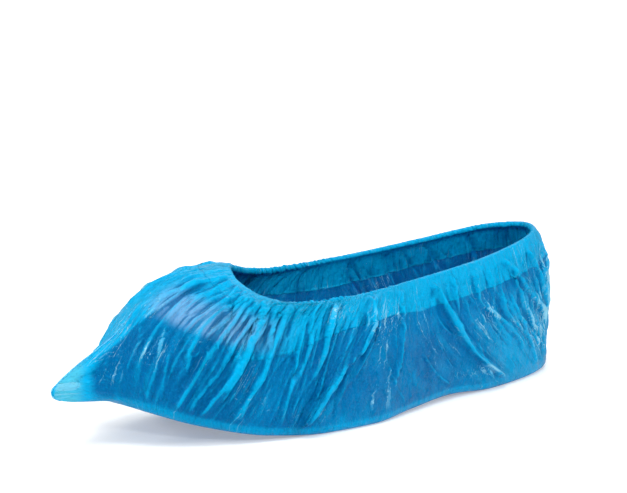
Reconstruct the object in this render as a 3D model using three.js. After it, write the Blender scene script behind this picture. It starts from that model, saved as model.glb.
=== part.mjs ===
// A disposable film overshoe with an elastic collar, standing in the form of a left shoe.
// Millimetres. While it is built, x runs from the heel's edge toward the toe, y toward the
// outer side of the foot and z up from the floor. The whole group is centred at the end.

import * as THREE from "three";

// Tread
const SOLE_LENGTH = 313;
const BALL_WIDTH = 104;
const TOE_SPRING = 23;
const WAIST_LIFT = 2;
const SOLE_SQUARENESS = 2.35;
const EDGE_RADIUS = 4;
const TURN_UNDER = 7;

// Collar
const COLLAR_LENGTH = 234;
const COLLAR_WIDTH = 80;
const COLLAR_HEIGHT = 90;
const COLLAR_SETBACK = 7;

// Film, hem and elastic. The real film is about 0.05 thick.
const FILM = 0.9;
const HEM_WIDTH = 18;
const HEM_GAP = 0.4;
const ELASTIC = 1.6;
const ELASTIC_ROOM = 0.7;
const JOINT_GAP = 0.3;

// Welded ends
const TOE_TAIL = 42.5;
const HEEL_FIN = 6;
const FIN_FLARE = 5;
const FIN_HOLLOW = 1.6;
const WELD_BEAD = 1.2;

// Folds
const FOLD_DEPTH = 2.6;
const SEAM_CALM = 9;

// Fineness of the facets
const SIDE_COLUMNS = 38;
const HEM_ROWS = 3;
const LOOP_STEPS = 4;
const CORNER_STEPS = 2;
const ARC_SAMPLES = 60;
const CORD_SIDES = 6;
const BEAD_SIDES = 6;

const FULL_TURN = 2 * Math.PI;
const LOOP_RADIUS = ELASTIC / 2 + ELASTIC_ROOM + FILM;

// Sections of the tread: at is a share of its length, middle, outer and inner are shares of
// the ball width, arch a share of the waist's lift and spring a share of the toe spring.
const SOLE_SECTIONS = [
  { at: 0.00, middle: 0.00, outer: 0.395, inner: 0.395, arch: 0.0, spring: 0.00 },
  { at: 0.10, middle: 0.00, outer: 0.405, inner: 0.395, arch: 0.0, spring: 0.00 },
  { at: 0.22, middle: 0.00, outer: 0.410, inner: 0.385, arch: 0.0, spring: 0.00 },
  { at: 0.33, middle: 0.01, outer: 0.385, inner: 0.355, arch: 1.0, spring: 0.00 },
  { at: 0.45, middle: 0.03, outer: 0.435, inner: 0.365, arch: 0.6, spring: 0.00 },
  { at: 0.56, middle: 0.05, outer: 0.495, inner: 0.415, arch: 0.0, spring: 0.00 },
  { at: 0.67, middle: 0.04, outer: 0.510, inner: 0.480, arch: 0.0, spring: 0.00 },
  { at: 0.78, middle: 0.00, outer: 0.520, inner: 0.520, arch: 0.0, spring: 0.11 },
  { at: 0.90, middle: -0.06, outer: 0.530, inner: 0.530, arch: 0.0, spring: 0.48 },
  { at: 1.00, middle: -0.105, outer: 0.520, inner: 0.520, arch: 0.0, spring: 1.00 },
];

// Points of the collar's edge: turn in degrees from the heel round the outer side, along,
// across and up as shares of the collar's length, width and height.
const COLLAR_POINTS = [
  { turn: 0, along: 0.000, across: 0, up: 0.930 },
  { turn: 20, along: 0.026, across: 0.16, up: 0.915 },
  { turn: 40, along: 0.100, across: 0.29, up: 0.890 },
  { turn: 60, along: 0.270, across: 0.4, up: 0.842 },
  { turn: 75, along: 0.420, across: 0.445, up: 0.812 },
  { turn: 90, along: 0.580, across: 0.477, up: 0.799 },
  { turn: 105, along: 0.720, across: 0.505, up: 0.790 },
  { turn: 120, along: 0.820, across: 0.52, up: 0.794 },
  { turn: 132, along: 0.885, across: 0.505, up: 0.806 },
  { turn: 144, along: 0.940, across: 0.455, up: 0.828 },
  { turn: 154, along: 0.975, across: 0.37, up: 0.860 },
  { turn: 162, along: 0.990, across: 0.27, up: 0.890 },
  { turn: 171, along: 0.995, across: 0.11, up: 0.950 },
  { turn: 180, along: 0.972, across: -0.04, up: 0.995 },
  { turn: 190, along: 0.942, across: -0.145, up: 0.990 },
  { turn: 200, along: 0.912, across: -0.235, up: 0.957 },
  { turn: 212, along: 0.875, across: -0.305, up: 0.923 },
  { turn: 225, along: 0.830, across: -0.365, up: 0.888 },
  { turn: 240, along: 0.770, across: -0.413, up: 0.853 },
  { turn: 255, along: 0.700, across: -0.437, up: 0.830 },
  { turn: 270, along: 0.580, across: -0.442, up: 0.812 },
  { turn: 285, along: 0.420, across: -0.427, up: 0.823 },
  { turn: 300, along: 0.270, across: -0.393, up: 0.852 },
  { turn: 320, along: 0.100, across: -0.29, up: 0.900 },
  { turn: 340, along: 0.026, across: -0.16, up: 0.920 },
];

// Side of the film between collar and tread, at shares of the tread's length. Fullness 2 is
// a quarter ellipse and more is boxier. Lean is how steep the film stands at the collar.
const WALL_PROFILES = [
  { at: 0.00, fullness: 3.40, lean: 30 },
  { at: 0.15, fullness: 2.80, lean: 26 },
  { at: 0.30, fullness: 2.20, lean: 22 },
  { at: 0.60, fullness: 2.00, lean: 16 },
  { at: 0.80, fullness: 2.15, lean: 6 },
  { at: 0.92, fullness: 2.40, lean: 0 },
  { at: 1.00, fullness: 2.50, lean: 0 },
];

// Rows of facets below the hem, as shares of the way down to the tread's edge
const WALL_ROWS = [0, 0.2, 0.4, 0.58, 0.72, 0.82, 0.9, 0.96, 1];

// Columns beside each weld, as shares of the fin's flare
const SEAM_COLUMNS = [0, 0.2, 0.45, 0.8, 1.3, 2, 3];

// Outline of the tail: rise from the toe's edge as a share of the way up to the collar,
// reach as a share of the tail's length.
const TAIL_OUTLINE = [
  { rise: 0.000, reach: 0.00 },
  { rise: 0.030, reach: 0.33 },
  { rise: 0.060, reach: 0.64 },
  { rise: 0.100, reach: 0.86 },
  { rise: 0.145, reach: 0.98 },
  { rise: 0.190, reach: 1.00 },
  { rise: 0.250, reach: 0.89 },
  { rise: 0.340, reach: 0.65 },
  { rise: 0.430, reach: 0.38 },
  { rise: 0.515, reach: 0.15 },
  { rise: 0.570, reach: 0.05 },
  { rise: 0.660, reach: 0.00 },
];

// Outline of the heel's fin: rise as a share of the collar's height, reach of its depth
const HEEL_FIN_OUTLINE = [
  { rise: 0.05, reach: 0.00 },
  { rise: 0.20, reach: 0.35 },
  { rise: 0.38, reach: 0.85 },
  { rise: 0.52, reach: 1.00 },
  { rise: 0.66, reach: 0.75 },
  { rise: 0.78, reach: 0.30 },
  { rise: 0.88, reach: 0.00 },
];

// Main folds. In degrees: turn at the collar, drift on the way down, bow to one side midway
// and half width. Reach is a share of the wall. Depth is a share of the fold depth, and below
// zero the fold is a trough.
const FOLDS = [
  { turn: 42, drift: -19, bow: 0, reach: 0.65, width: 7, depth: 0.7 },
  { turn: 50, drift: -22, bow: 0, reach: 0.66, width: 6, depth: -0.5 },
  { turn: 57, drift: -29, bow: 0, reach: 0.68, width: 7, depth: 0.8 },
  { turn: 67, drift: -24, bow: 0, reach: 0.86, width: 7, depth: 0.9 },
  { turn: 74, drift: -16, bow: 0, reach: 0.80, width: 6, depth: -0.7 },
  { turn: 81, drift: -25, bow: 0, reach: 1.00, width: 8, depth: 1.0 },
  { turn: 86, drift: -8, bow: 0, reach: 0.80, width: 6, depth: -0.6 },
  { turn: 91, drift: 0, bow: 0, reach: 0.85, width: 6, depth: 0.8 },
  { turn: 98, drift: 15, bow: 0, reach: 1.00, width: 7, depth: 1.0 },
  { turn: 105, drift: 8, bow: -3, reach: 0.85, width: 6, depth: -0.6 },
  { turn: 112, drift: 3, bow: -3, reach: 0.90, width: 6, depth: 0.7 },
  { turn: 121, drift: -4, bow: -5, reach: 0.90, width: 6, depth: 0.6 },
  { turn: 127, drift: -4, bow: -6, reach: 0.90, width: 6, depth: -0.6 },
  { turn: 134, drift: -3, bow: -9, reach: 0.97, width: 6, depth: 0.8 },
  { turn: 147, drift: -6, bow: -13, reach: 1.00, width: 6, depth: 0.8 },
  { turn: 152, drift: -7, bow: -13, reach: 1.00, width: 5, depth: -0.5 },
  { turn: 157, drift: -7, bow: -13, reach: 1.00, width: 6, depth: 1.0 },
  { turn: 166, drift: -12, bow: -7, reach: 0.60, width: 6, depth: 0.6 },
  { turn: 172, drift: 2, bow: 0, reach: 0.50, width: 5, depth: -0.4 },
  { turn: 189, drift: -3, bow: 2, reach: 0.55, width: 6, depth: 0.6 },
  { turn: 197, drift: 9, bow: 8, reach: 0.65, width: 6, depth: -0.6 },
  { turn: 203, drift: 8, bow: 12, reach: 1.00, width: 6, depth: 1.0 },
  { turn: 211, drift: 6, bow: 12, reach: 0.95, width: 6, depth: -0.6 },
  { turn: 219, drift: 5, bow: 10, reach: 1.00, width: 6, depth: 0.9 },
  { turn: 230, drift: 4, bow: 7, reach: 0.90, width: 6, depth: 0.8 },
  { turn: 240, drift: 4, bow: 4, reach: 0.85, width: 6, depth: -0.6 },
  { turn: 250, drift: -2, bow: 3, reach: 1.00, width: 7, depth: 0.9 },
  { turn: 262, drift: -10, bow: 0, reach: 0.90, width: 6, depth: 0.7 },
  { turn: 272, drift: 4, bow: 0, reach: 0.85, width: 6, depth: -0.6 },
  { turn: 281, drift: 22, bow: 0, reach: 1.00, width: 8, depth: 1.0 },
  { turn: 293, drift: 22, bow: 0, reach: 0.85, width: 7, depth: 0.8 },
  { turn: 303, drift: 20, bow: 0, reach: 0.70, width: 6, depth: -0.6 },
  { turn: 312, drift: 22, bow: 0, reach: 0.75, width: 7, depth: 0.8 },
  { turn: 325, drift: 18, bow: 0, reach: 0.60, width: 6, depth: -0.5 },
];

// Where along a fold it rises from the collar and dies away, as shares
const FOLD_RISE = 0.24;
const FOLD_FADE = 0.3;
const EDGE_FADE = 0.16;

function radians(degrees) {
  return THREE.MathUtils.degToRad(degrees);
}

function signedPower(value, power) {
  return Math.sign(value) * Math.abs(value) ** power;
}

function smoothStep(value) {
  return THREE.MathUtils.smoothstep(value, 0, 1);
}

function hermite(low, high, slopeLow, slopeHigh, span, share) {
  const square = share * share;
  const cube = square * share;
  return low * (2 * cube - 3 * square + 1)
    + high * (3 * square - 2 * cube)
    + span * (slopeLow * (cube - 2 * square + share) + slopeHigh * (cube - square));
}

// A smooth value from a table. It never swings past its rows, so level stretches stay level.
function valueAt(table, key, name, place) {
  const last = table.length - 1;
  const at = THREE.MathUtils.clamp(place, table[0][key], table[last][key]);
  let row = 0;
  while (row < last - 1 && at > table[row + 1][key]) {
    row += 1;
  }
  const rate = (i) => (table[i + 1][name] - table[i][name]) / (table[i + 1][key] - table[i][key]);
  const slope = (i) => {
    if (i === 0) {
      return rate(0);
    }
    if (i === last) {
      return rate(last - 1);
    }
    const product = rate(i - 1) * rate(i);
    return product > 0 ? (2 * product) / (rate(i - 1) + rate(i)) : 0;
  };
  const span = table[row + 1][key] - table[row][key];
  const share = (at - table[row][key]) / span;
  return hermite(table[row][name], table[row + 1][name], slope(row), slope(row + 1), span, share);
}

// A smooth value from the collar's closed ring of points
function collarValue(name, degrees) {
  const count = COLLAR_POINTS.length;
  const point = (i) => COLLAR_POINTS[(i + count) % count];
  const turnOf = (i) => point(i).turn + 360 * Math.floor(i / count);
  let row = 0;
  while (turnOf(row + 1) <= degrees) {
    row += 1;
  }
  const slope = (i) => (point(i + 1)[name] - point(i - 1)[name]) / (turnOf(i + 1) - turnOf(i - 1));
  const span = turnOf(row + 1) - turnOf(row);
  const share = (degrees - turnOf(row)) / span;
  return hermite(point(row)[name], point(row + 1)[name], slope(row), slope(row + 1), span, share);
}

// Height of the tread's underside above the floor
function soleHeight(x) {
  const at = x / SOLE_LENGTH;
  return WAIST_LIFT * valueAt(SOLE_SECTIONS, "at", "arch", at)
    + TOE_SPRING * valueAt(SOLE_SECTIONS, "at", "spring", at);
}

function soleShare(turn) {
  return (1 - signedPower(Math.cos(turn), 2 / SOLE_SQUARENESS)) / 2;
}

function soleMiddle(at) {
  return BALL_WIDTH * valueAt(SOLE_SECTIONS, "at", "middle", at);
}

// Point of the tread's outline, moved inward by an inset
function solePoint(turn, inset = 0) {
  const outline = (angle) => {
    const at = soleShare(angle);
    const side = Math.sin(angle) >= 0 ? "outer" : "inner";
    const half = BALL_WIDTH * valueAt(SOLE_SECTIONS, "at", side, at);
    const y = soleMiddle(at) + half * signedPower(Math.sin(angle), 2 / SOLE_SQUARENESS);
    return new THREE.Vector2(SOLE_LENGTH * at, y);
  };
  const step = radians(0.5);
  const tangent = outline(turn + step).sub(outline(turn - step)).normalize();
  const place = outline(turn).add(new THREE.Vector2(tangent.y, -tangent.x).multiplyScalar(inset));
  return new THREE.Vector3(place.x, place.y, soleHeight(place.x));
}

function collarPoint(turn) {
  const degrees = THREE.MathUtils.euclideanModulo(THREE.MathUtils.radToDeg(turn), 360);
  return new THREE.Vector3(
    COLLAR_SETBACK + COLLAR_LENGTH * collarValue("along", degrees),
    COLLAR_WIDTH * collarValue("across", degrees),
    COLLAR_HEIGHT * collarValue("up", degrees),
  );
}

// Turns of one side's columns, from the heel's weld to the toe's, close together beside them
function sideTurns() {
  const beside = (section) => SEAM_COLUMNS.map((share) => {
    const half = BALL_WIDTH * section.outer;
    return Math.asin(((share * FIN_FLARE) / half) ** (SOLE_SQUARENESS / 2));
  });
  const heel = beside(SOLE_SECTIONS[0]);
  const toe = beside(SOLE_SECTIONS[SOLE_SECTIONS.length - 1]).map((turn) => Math.PI - turn).reverse();
  const first = heel[heel.length - 1];
  const last = toe[0];
  const between = Array.from({ length: SIDE_COLUMNS }, (_, i) => (
    first + ((last - first) * (i + 1)) / (SIDE_COLUMNS + 1)
  ));
  return [...heel, ...between, ...toe];
}

const SIDE_TURNS = sideTurns();
const TOE_COLUMN = SIDE_TURNS.length - 1;
const OTHER_TURNS = SIDE_TURNS.slice(1, -1).reverse().map((turn) => FULL_TURN - turn);
const TURNS = [...SIDE_TURNS, ...OTHER_TURNS];

function foldHeight(turn, down, fromSeam) {
  const degrees = THREE.MathUtils.radToDeg(turn);
  const total = FOLDS.reduce((sum, fold) => {
    const along = down / fold.reach;
    const centre = fold.turn + fold.drift * along ** 2 + fold.bow * 4 * along * (1 - along);
    const gap = Math.abs(degrees - centre) / fold.width;
    if (gap >= 1 || along >= 1) {
      return sum;
    }
    const across = (1 + Math.cos(Math.PI * gap)) / 2;
    const away = smoothStep((1 - along) / FOLD_FADE);
    return sum + fold.depth * across * away;
  }, 0);
  const calm = 1 - Math.exp(-((fromSeam / SEAM_CALM) ** 2));
  return FOLD_DEPTH * total * calm * smoothStep(down / FOLD_RISE) * smoothStep((1 - down) / EDGE_FADE);
}

// The curve that one column follows down the film's side, from the collar to the tread's edge,
// and how much longer it is there than the straight way down from the collar
function wallCurve(turn) {
  const at = soleShare(turn);
  const collar = collarPoint(turn);
  const rim = solePoint(turn);
  rim.z += EDGE_RADIUS;
  const span = rim.clone().sub(collar);
  const lean = radians(valueAt(WALL_PROFILES, "at", "lean", at));
  const power = 2 / valueAt(WALL_PROFILES, "at", "fullness", at);
  const outAt = (angle) => Math.sin(angle) ** power;
  const dropAt = (angle) => 1 - Math.cos(angle) ** power;
  const points = Array.from({ length: ARC_SAMPLES + 1 }, (_, i) => {
    const angle = lean + (Math.PI / 2 - lean) * (i / ARC_SAMPLES);
    const out = (outAt(angle) - outAt(lean)) / (1 - outAt(lean));
    const drop = (dropAt(angle) - dropAt(lean)) / (1 - dropAt(lean));
    return collar.clone().add(new THREE.Vector3(span.x * out, span.y * out, span.z * drop));
  });
  const lengths = [0];
  for (let i = 1; i < points.length; i += 1) {
    lengths.push(lengths[i - 1] + points[i].distanceTo(points[i - 1]));
  }
  const total = lengths[ARC_SAMPLES];
  const pointAt = (length) => {
    let i = 0;
    while (i < ARC_SAMPLES - 1 && lengths[i + 1] < length) {
      i += 1;
    }
    const share = (length - lengths[i]) / (lengths[i + 1] - lengths[i]);
    return { base: points[i].clone().lerp(points[i + 1], share), down: length / total };
  };
  const step = radians(1);
  const along = collarPoint(turn + step).sub(collarPoint(turn - step)).normalize();
  const down = pointAt(HEM_WIDTH).base.sub(collar).normalize();
  return { pointAt, total, slant: 1 / Math.sqrt(1 - along.dot(down) ** 2) };
}

// One column of the film's outer skin, from under the tread up to the collar's edge
function skinColumn(turn) {
  const at = soleShare(turn);
  const middle = soleMiddle(at);
  const rows = [{ base: solePoint(turn, TURN_UNDER), down: 1 }];
  for (let step = 0; step < CORNER_STEPS; step += 1) {
    const angle = (Math.PI / 2) * (step / CORNER_STEPS);
    const base = solePoint(turn, EDGE_RADIUS * (1 - Math.sin(angle)));
    base.z += EDGE_RADIUS * (1 - Math.cos(angle));
    rows.push({ base, down: 1 });
  }

  const wall = wallCurve(turn);
  const hem = HEM_WIDTH * wall.slant;
  [...WALL_ROWS].reverse().forEach((share) => {
    rows.push(wall.pointAt(hem + (wall.total - hem) * share));
  });
  for (let row = HEM_ROWS - 1; row >= 0; row -= 1) {
    rows.push(wall.pointAt((hem * row) / HEM_ROWS));
  }
  return rows.map(({ base, down }) => ({
    base, down, turn, fromSeam: Math.abs(base.y - middle), front: at > 0.5,
  }));
}

const SKIN = TURNS.map(skinColumn);
const EDGE_ROW = SKIN[0].length - 1;

// Directions at a column and row of the skin: out of it, and up it. Its lowest row is level.
function skinFrame(column, row) {
  if (row === 0) {
    return { out: new THREE.Vector3(0, 0, -1), up: new THREE.Vector3(1, 0, 0) };
  }
  const at = (i, j) => SKIN[(i + SKIN.length) % SKIN.length][j].base;
  const round = at(column + 1, row).clone().sub(at(column - 1, row)).normalize();
  const up = at(column, Math.min(row + 1, EDGE_ROW)).clone().sub(at(column, Math.max(row - 1, 0)));
  const out = new THREE.Vector3().crossVectors(up, round).normalize();
  return { out, up: new THREE.Vector3().crossVectors(round, out).normalize() };
}

// How far the welded ends pull the film out, for its outer face or, less, for its inner one
function finReach(point, inside) {
  const spread = inside ? Math.max(point.fromSeam, FIN_HOLLOW) : Math.max(point.fromSeam - FILM, 0);
  const fade = Math.exp(-spread / FIN_FLARE);
  if (point.front) {
    const rise = (point.base.z - TOE_SPRING) / (COLLAR_HEIGHT - TOE_SPRING);
    return TOE_TAIL * valueAt(TAIL_OUTLINE, "rise", "reach", rise) * fade;
  }
  const rise = point.base.z / COLLAR_HEIGHT;
  return -HEEL_FIN * valueAt(HEEL_FIN_OUTLINE, "rise", "reach", rise) * fade;
}

// The film's two faces along one column: outer skin, round the elastic, down the hem's leg
function filmFaces(column) {
  const outer = [];
  const inner = [];
  const frames = SKIN[column].map((_, row) => skinFrame(column, row));
  const folded = SKIN[column].map((point, row) => (
    point.base.clone().addScaledVector(frames[row].out, foldHeight(point.turn, point.down, point.fromSeam))
  ));
  SKIN[column].forEach((point, row) => {
    const { out } = frames[row];
    outer.push(folded[row].clone().setX(folded[row].x + finReach(point, false)));
    const within = folded[row].clone().addScaledVector(out, -FILM);
    inner.push(within.setX(within.x + finReach(point, true)));
  });

  const { out, up } = frames[EDGE_ROW];
  const centre = folded[EDGE_ROW].clone().addScaledVector(out, -LOOP_RADIUS);
  for (let step = 1; step <= LOOP_STEPS; step += 1) {
    const angle = Math.PI * (step / LOOP_STEPS);
    const away = out.clone().multiplyScalar(Math.cos(angle)).addScaledVector(up, Math.sin(angle));
    outer.push(centre.clone().addScaledVector(away, LOOP_RADIUS));
    inner.push(centre.clone().addScaledVector(away, LOOP_RADIUS - FILM));
  }
  for (let row = EDGE_ROW - 1; row >= EDGE_ROW - HEM_ROWS; row -= 1) {
    outer.push(folded[row].clone().addScaledVector(frames[row].out, -(2 * FILM + HEM_GAP)));
    inner.push(folded[row].clone().addScaledVector(frames[row].out, -(FILM + HEM_GAP)));
  }
  return { outer, inner, centre, out, up };
}

const FACES = TURNS.map((_, column) => filmFaces(column));

function solidGeometry(points, triangles) {
  const volume = triangles.reduce((sum, [a, b, c]) => (
    sum + points[a].dot(new THREE.Vector3().crossVectors(points[b], points[c]))
  ), 0);
  const order = volume > 0 ? triangles : triangles.map(([a, b, c]) => [a, c, b]);
  const geometry = new THREE.BufferGeometry().setFromPoints(points);
  geometry.setIndex(order.flat());
  geometry.computeVertexNormals();
  return geometry;
}

// A closed ring swept from sections that each go once round. The halfway index is where the
// sections turn back along their other face, and diagonals there lie the other way.
function ringGeometry(sections, halfway) {
  const count = sections[0].length;
  const triangles = [];
  sections.forEach((_, i) => {
    const here = i * count;
    const next = ((i + 1) % sections.length) * count;
    for (let k = 0; k < count; k += 1) {
      const far = (k + 1) % count;
      if (k < halfway) {
        triangles.push([here + k, here + far, next + far], [here + k, next + far, next + k]);
      } else {
        triangles.push([here + k, here + far, next + k], [here + far, next + far, next + k]);
      }
    }
  });
  return solidGeometry(sections.flat(), triangles);
}

function upperGeometry() {
  const sections = FACES.map(({ outer, inner }) => [...outer, ...[...inner].reverse()]);
  return ringGeometry(sections, FACES[0].outer.length);
}

// The tread's panel: chords from side to side, level across, inside the turned-under film
function soleGeometry() {
  const below = TURNS.map((turn) => solePoint(turn, TURN_UNDER + JOINT_GAP));
  const above = below.map((point) => point.clone().setZ(point.z + FILM));
  const count = below.length;
  const triangles = [];
  const mirror = (column) => count - column;
  const face = (shift, flip) => {
    const add = (a, b, c) => {
      const [second, third] = flip ? [c, b] : [b, c];
      triangles.push([a + shift, second + shift, third + shift]);
    };
    add(0, 1, mirror(1));
    for (let i = 1; i < TOE_COLUMN - 1; i += 1) {
      add(i, i + 1, mirror(i + 1));
      add(i, mirror(i + 1), mirror(i));
    }
    add(TOE_COLUMN - 1, TOE_COLUMN, mirror(TOE_COLUMN - 1));
  };
  face(0, false);
  face(count, true);
  for (let i = 0; i < count; i += 1) {
    const next = (i + 1) % count;
    triangles.push([i, count + i, next], [next, count + i, count + next]);
  }
  return solidGeometry([...below, ...above], triangles);
}

function cordGeometry() {
  const sections = FACES.map(({ centre, out, up }) => Array.from({ length: CORD_SIDES }, (_, k) => {
    const angle = FULL_TURN * (k / CORD_SIDES);
    return centre.clone()
      .addScaledVector(out, (ELASTIC / 2) * Math.cos(angle))
      .addScaledVector(up, (ELASTIC / 2) * Math.sin(angle));
  }));
  return ringGeometry(sections, CORD_SIDES);
}

// A weld's bead, laid along the film's edge in the plane of x and z, clear of it by the gap
function beadGeometry(column, lowestRow) {
  const edge = FACES[column].outer.slice(lowestRow, EDGE_ROW).reverse();
  const side = new THREE.Vector3(0, column === TOE_COLUMN ? 1 : -1, 0);
  const normal = (from, to) => new THREE.Vector3().crossVectors(to.clone().sub(from), side).normalize();
  const sections = edge.map((point, i) => {
    const before = normal(edge[Math.max(i - 1, 0)], edge[Math.max(i, 1)]);
    const after = normal(edge[Math.min(i, edge.length - 2)], edge[Math.min(i + 1, edge.length - 1)]);
    const out = before.clone().add(after).normalize();
    const centre = point.clone().addScaledVector(out, (WELD_BEAD / 2 + JOINT_GAP) / out.dot(before));
    return Array.from({ length: BEAD_SIDES }, (_, k) => {
      const angle = FULL_TURN * (k / BEAD_SIDES);
      return centre.clone()
        .addScaledVector(out, (WELD_BEAD / 2) * Math.cos(angle))
        .addScaledVector(side, (WELD_BEAD / 2) * Math.sin(angle));
    });
  });
  const triangles = [];
  for (let i = 0; i < sections.length - 1; i += 1) {
    for (let k = 0; k < BEAD_SIDES; k += 1) {
      const far = (k + 1) % BEAD_SIDES;
      const here = i * BEAD_SIDES;
      const next = here + BEAD_SIDES;
      triangles.push([here + k, here + far, next + far], [here + k, next + far, next + k]);
    }
  }
  const tail = (sections.length - 1) * BEAD_SIDES;
  for (let k = 1; k < BEAD_SIDES - 1; k += 1) {
    triangles.push([0, k + 1, k], [tail, tail + k, tail + k + 1]);
  }
  return solidGeometry(sections.flat(), triangles);
}

function material(color, roughness) {
  return new THREE.MeshStandardMaterial({ color, roughness, metalness: 0, side: THREE.DoubleSide });
}

function part(name, geometry, finish) {
  const mesh = new THREE.Mesh(geometry, finish);
  mesh.name = name;
  return mesh;
}

const TAIL_LOWEST_ROW = 1;
const HEEL_LOWEST_ROW = 1 + CORNER_STEPS;

const overshoe = new THREE.Group();
overshoe.add(
  part("film_upper", upperGeometry(), material(0x0a8fc8, 0.32)),
  part("film_sole", soleGeometry(), material(0x0a80b8, 0.36)),
  part("elastic_cord", cordGeometry(), material(0xd8e4ea, 0.8)),
  part("toe_weld", beadGeometry(TOE_COLUMN, TAIL_LOWEST_ROW), material(0x2fb4dc, 0.25)),
  part("heel_weld", beadGeometry(0, HEEL_LOWEST_ROW), material(0x2fb4dc, 0.25)),
);

// The origin is on the floor, under the middle of the whole
const extent = new THREE.Box3().setFromObject(overshoe);
const middle = extent.getCenter(new THREE.Vector3());
overshoe.position.set(-middle.x, -middle.y, 0);

export default overshoe;
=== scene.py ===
"""A disposable film overshoe: thin embossed blue film, gathered by an elastic collar.

The film's grids are worked out in millimetres, with x from the heel's edge to the toe, y to the
outer side and z up. Meshes are written in metres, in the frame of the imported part.
"""

import logging
import math
from dataclasses import dataclass
from enum import Enum
from typing import Iterable, NamedTuple, Optional, Sequence, Union

import bpy
import numpy as np
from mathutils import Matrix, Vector


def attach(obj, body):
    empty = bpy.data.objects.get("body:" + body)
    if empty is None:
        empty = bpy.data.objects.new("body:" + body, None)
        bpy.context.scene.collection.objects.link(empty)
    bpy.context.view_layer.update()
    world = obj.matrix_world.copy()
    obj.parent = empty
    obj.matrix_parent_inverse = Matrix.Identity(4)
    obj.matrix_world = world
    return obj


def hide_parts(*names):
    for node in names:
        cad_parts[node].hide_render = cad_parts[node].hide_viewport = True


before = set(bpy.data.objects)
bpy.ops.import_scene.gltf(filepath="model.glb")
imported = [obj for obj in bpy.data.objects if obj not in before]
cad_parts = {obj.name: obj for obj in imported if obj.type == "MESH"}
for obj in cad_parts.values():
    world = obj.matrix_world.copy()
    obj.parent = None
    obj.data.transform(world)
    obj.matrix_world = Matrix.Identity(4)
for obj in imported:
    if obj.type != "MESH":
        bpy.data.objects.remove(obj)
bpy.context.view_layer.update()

LOG = logging.getLogger("overshoe")
METRE = 0.001
FULL_TURN = 360.0
FILM_GIRTH = 760.0
# How many columns on each side a fold and its crest are measured against
FOLD_REACH, CREST_REACH = 8, 2
# What each point of the film carries for its finish, its painted light and shade among it
SHADES = ("relief", "crest", "painted_light", "painted_toe_highlight", "hems", "glint_clusters")
Array = np.ndarray
Colour = tuple[float, float, float]


class SoleSection(NamedTuple):
    """A section of the tread: shares of its length, ball width, waist lift and toe spring."""

    at: float
    middle: float
    outer: float
    inner: float
    arch: float
    spring: float


class CollarPoint(NamedTuple):
    """A point of the collar's edge: turn in degrees, then shares of length, width and height."""

    turn: float
    along: float
    across: float
    up: float


class WallProfile(NamedTuple):
    """The film's side at a share of the length: how boxy it is, and its lean at the collar."""

    at: float
    fullness: float
    lean: float


class Reach(NamedTuple):
    """How far a welded end stands out, as a share, at a share of its height."""

    rise: float
    reach: float


SOLE_SECTIONS = (
    SoleSection(0.00, 0.00, 0.395, 0.395, 0.0, 0.00),
    SoleSection(0.10, 0.00, 0.405, 0.395, 0.0, 0.00),
    SoleSection(0.22, 0.00, 0.410, 0.385, 0.0, 0.00),
    SoleSection(0.33, 0.01, 0.385, 0.355, 1.0, 0.00),
    SoleSection(0.45, 0.03, 0.435, 0.365, 0.6, 0.00),
    SoleSection(0.56, 0.05, 0.495, 0.415, 0.0, 0.00),
    SoleSection(0.67, 0.04, 0.510, 0.480, 0.0, 0.00),
    SoleSection(0.78, 0.00, 0.520, 0.520, 0.0, 0.11),
    SoleSection(0.90, -0.06, 0.530, 0.530, 0.0, 0.48),
    SoleSection(1.00, -0.105, 0.520, 0.520, 0.0, 1.00),
)

COLLAR_POINTS = (
    CollarPoint(0, 0.000, 0.000, 0.930), CollarPoint(20, 0.026, 0.160, 0.915),
    CollarPoint(40, 0.100, 0.290, 0.890), CollarPoint(60, 0.270, 0.400, 0.842),
    CollarPoint(75, 0.420, 0.445, 0.812), CollarPoint(90, 0.580, 0.477, 0.799),
    CollarPoint(105, 0.720, 0.505, 0.790), CollarPoint(120, 0.820, 0.520, 0.794),
    CollarPoint(132, 0.885, 0.505, 0.806), CollarPoint(144, 0.940, 0.455, 0.828),
    CollarPoint(154, 0.975, 0.370, 0.860), CollarPoint(162, 0.990, 0.270, 0.890),
    CollarPoint(171, 0.995, 0.110, 0.950), CollarPoint(180, 0.972, -0.040, 0.995),
    CollarPoint(190, 0.942, -0.145, 0.990), CollarPoint(200, 0.912, -0.235, 0.957),
    CollarPoint(212, 0.875, -0.305, 0.923), CollarPoint(225, 0.830, -0.365, 0.888),
    CollarPoint(240, 0.770, -0.413, 0.853), CollarPoint(255, 0.700, -0.437, 0.830),
    CollarPoint(270, 0.580, -0.442, 0.812), CollarPoint(285, 0.420, -0.427, 0.823),
    CollarPoint(300, 0.270, -0.393, 0.852), CollarPoint(320, 0.100, -0.290, 0.900),
    CollarPoint(340, 0.026, -0.160, 0.920),
)

WALL_PROFILES = (
    WallProfile(0.00, 3.40, 30), WallProfile(0.15, 2.80, 26), WallProfile(0.30, 2.20, 22),
    WallProfile(0.60, 2.00, 16), WallProfile(0.80, 2.15, 6), WallProfile(0.92, 2.40, 0),
    WallProfile(1.00, 2.50, 0),
)

TAIL_OUTLINE = (
    Reach(0.000, 0.00), Reach(0.030, 0.33), Reach(0.060, 0.64), Reach(0.100, 0.86),
    Reach(0.145, 0.98), Reach(0.190, 1.00), Reach(0.250, 0.89), Reach(0.340, 0.65),
    Reach(0.430, 0.38), Reach(0.515, 0.15), Reach(0.570, 0.05), Reach(0.660, 0.00),
)

HEEL_OUTLINE = (
    Reach(0.05, 0.00), Reach(0.20, 0.35), Reach(0.38, 0.85), Reach(0.52, 1.00),
    Reach(0.66, 0.75), Reach(0.78, 0.30), Reach(0.88, 0.00),
)


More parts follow.
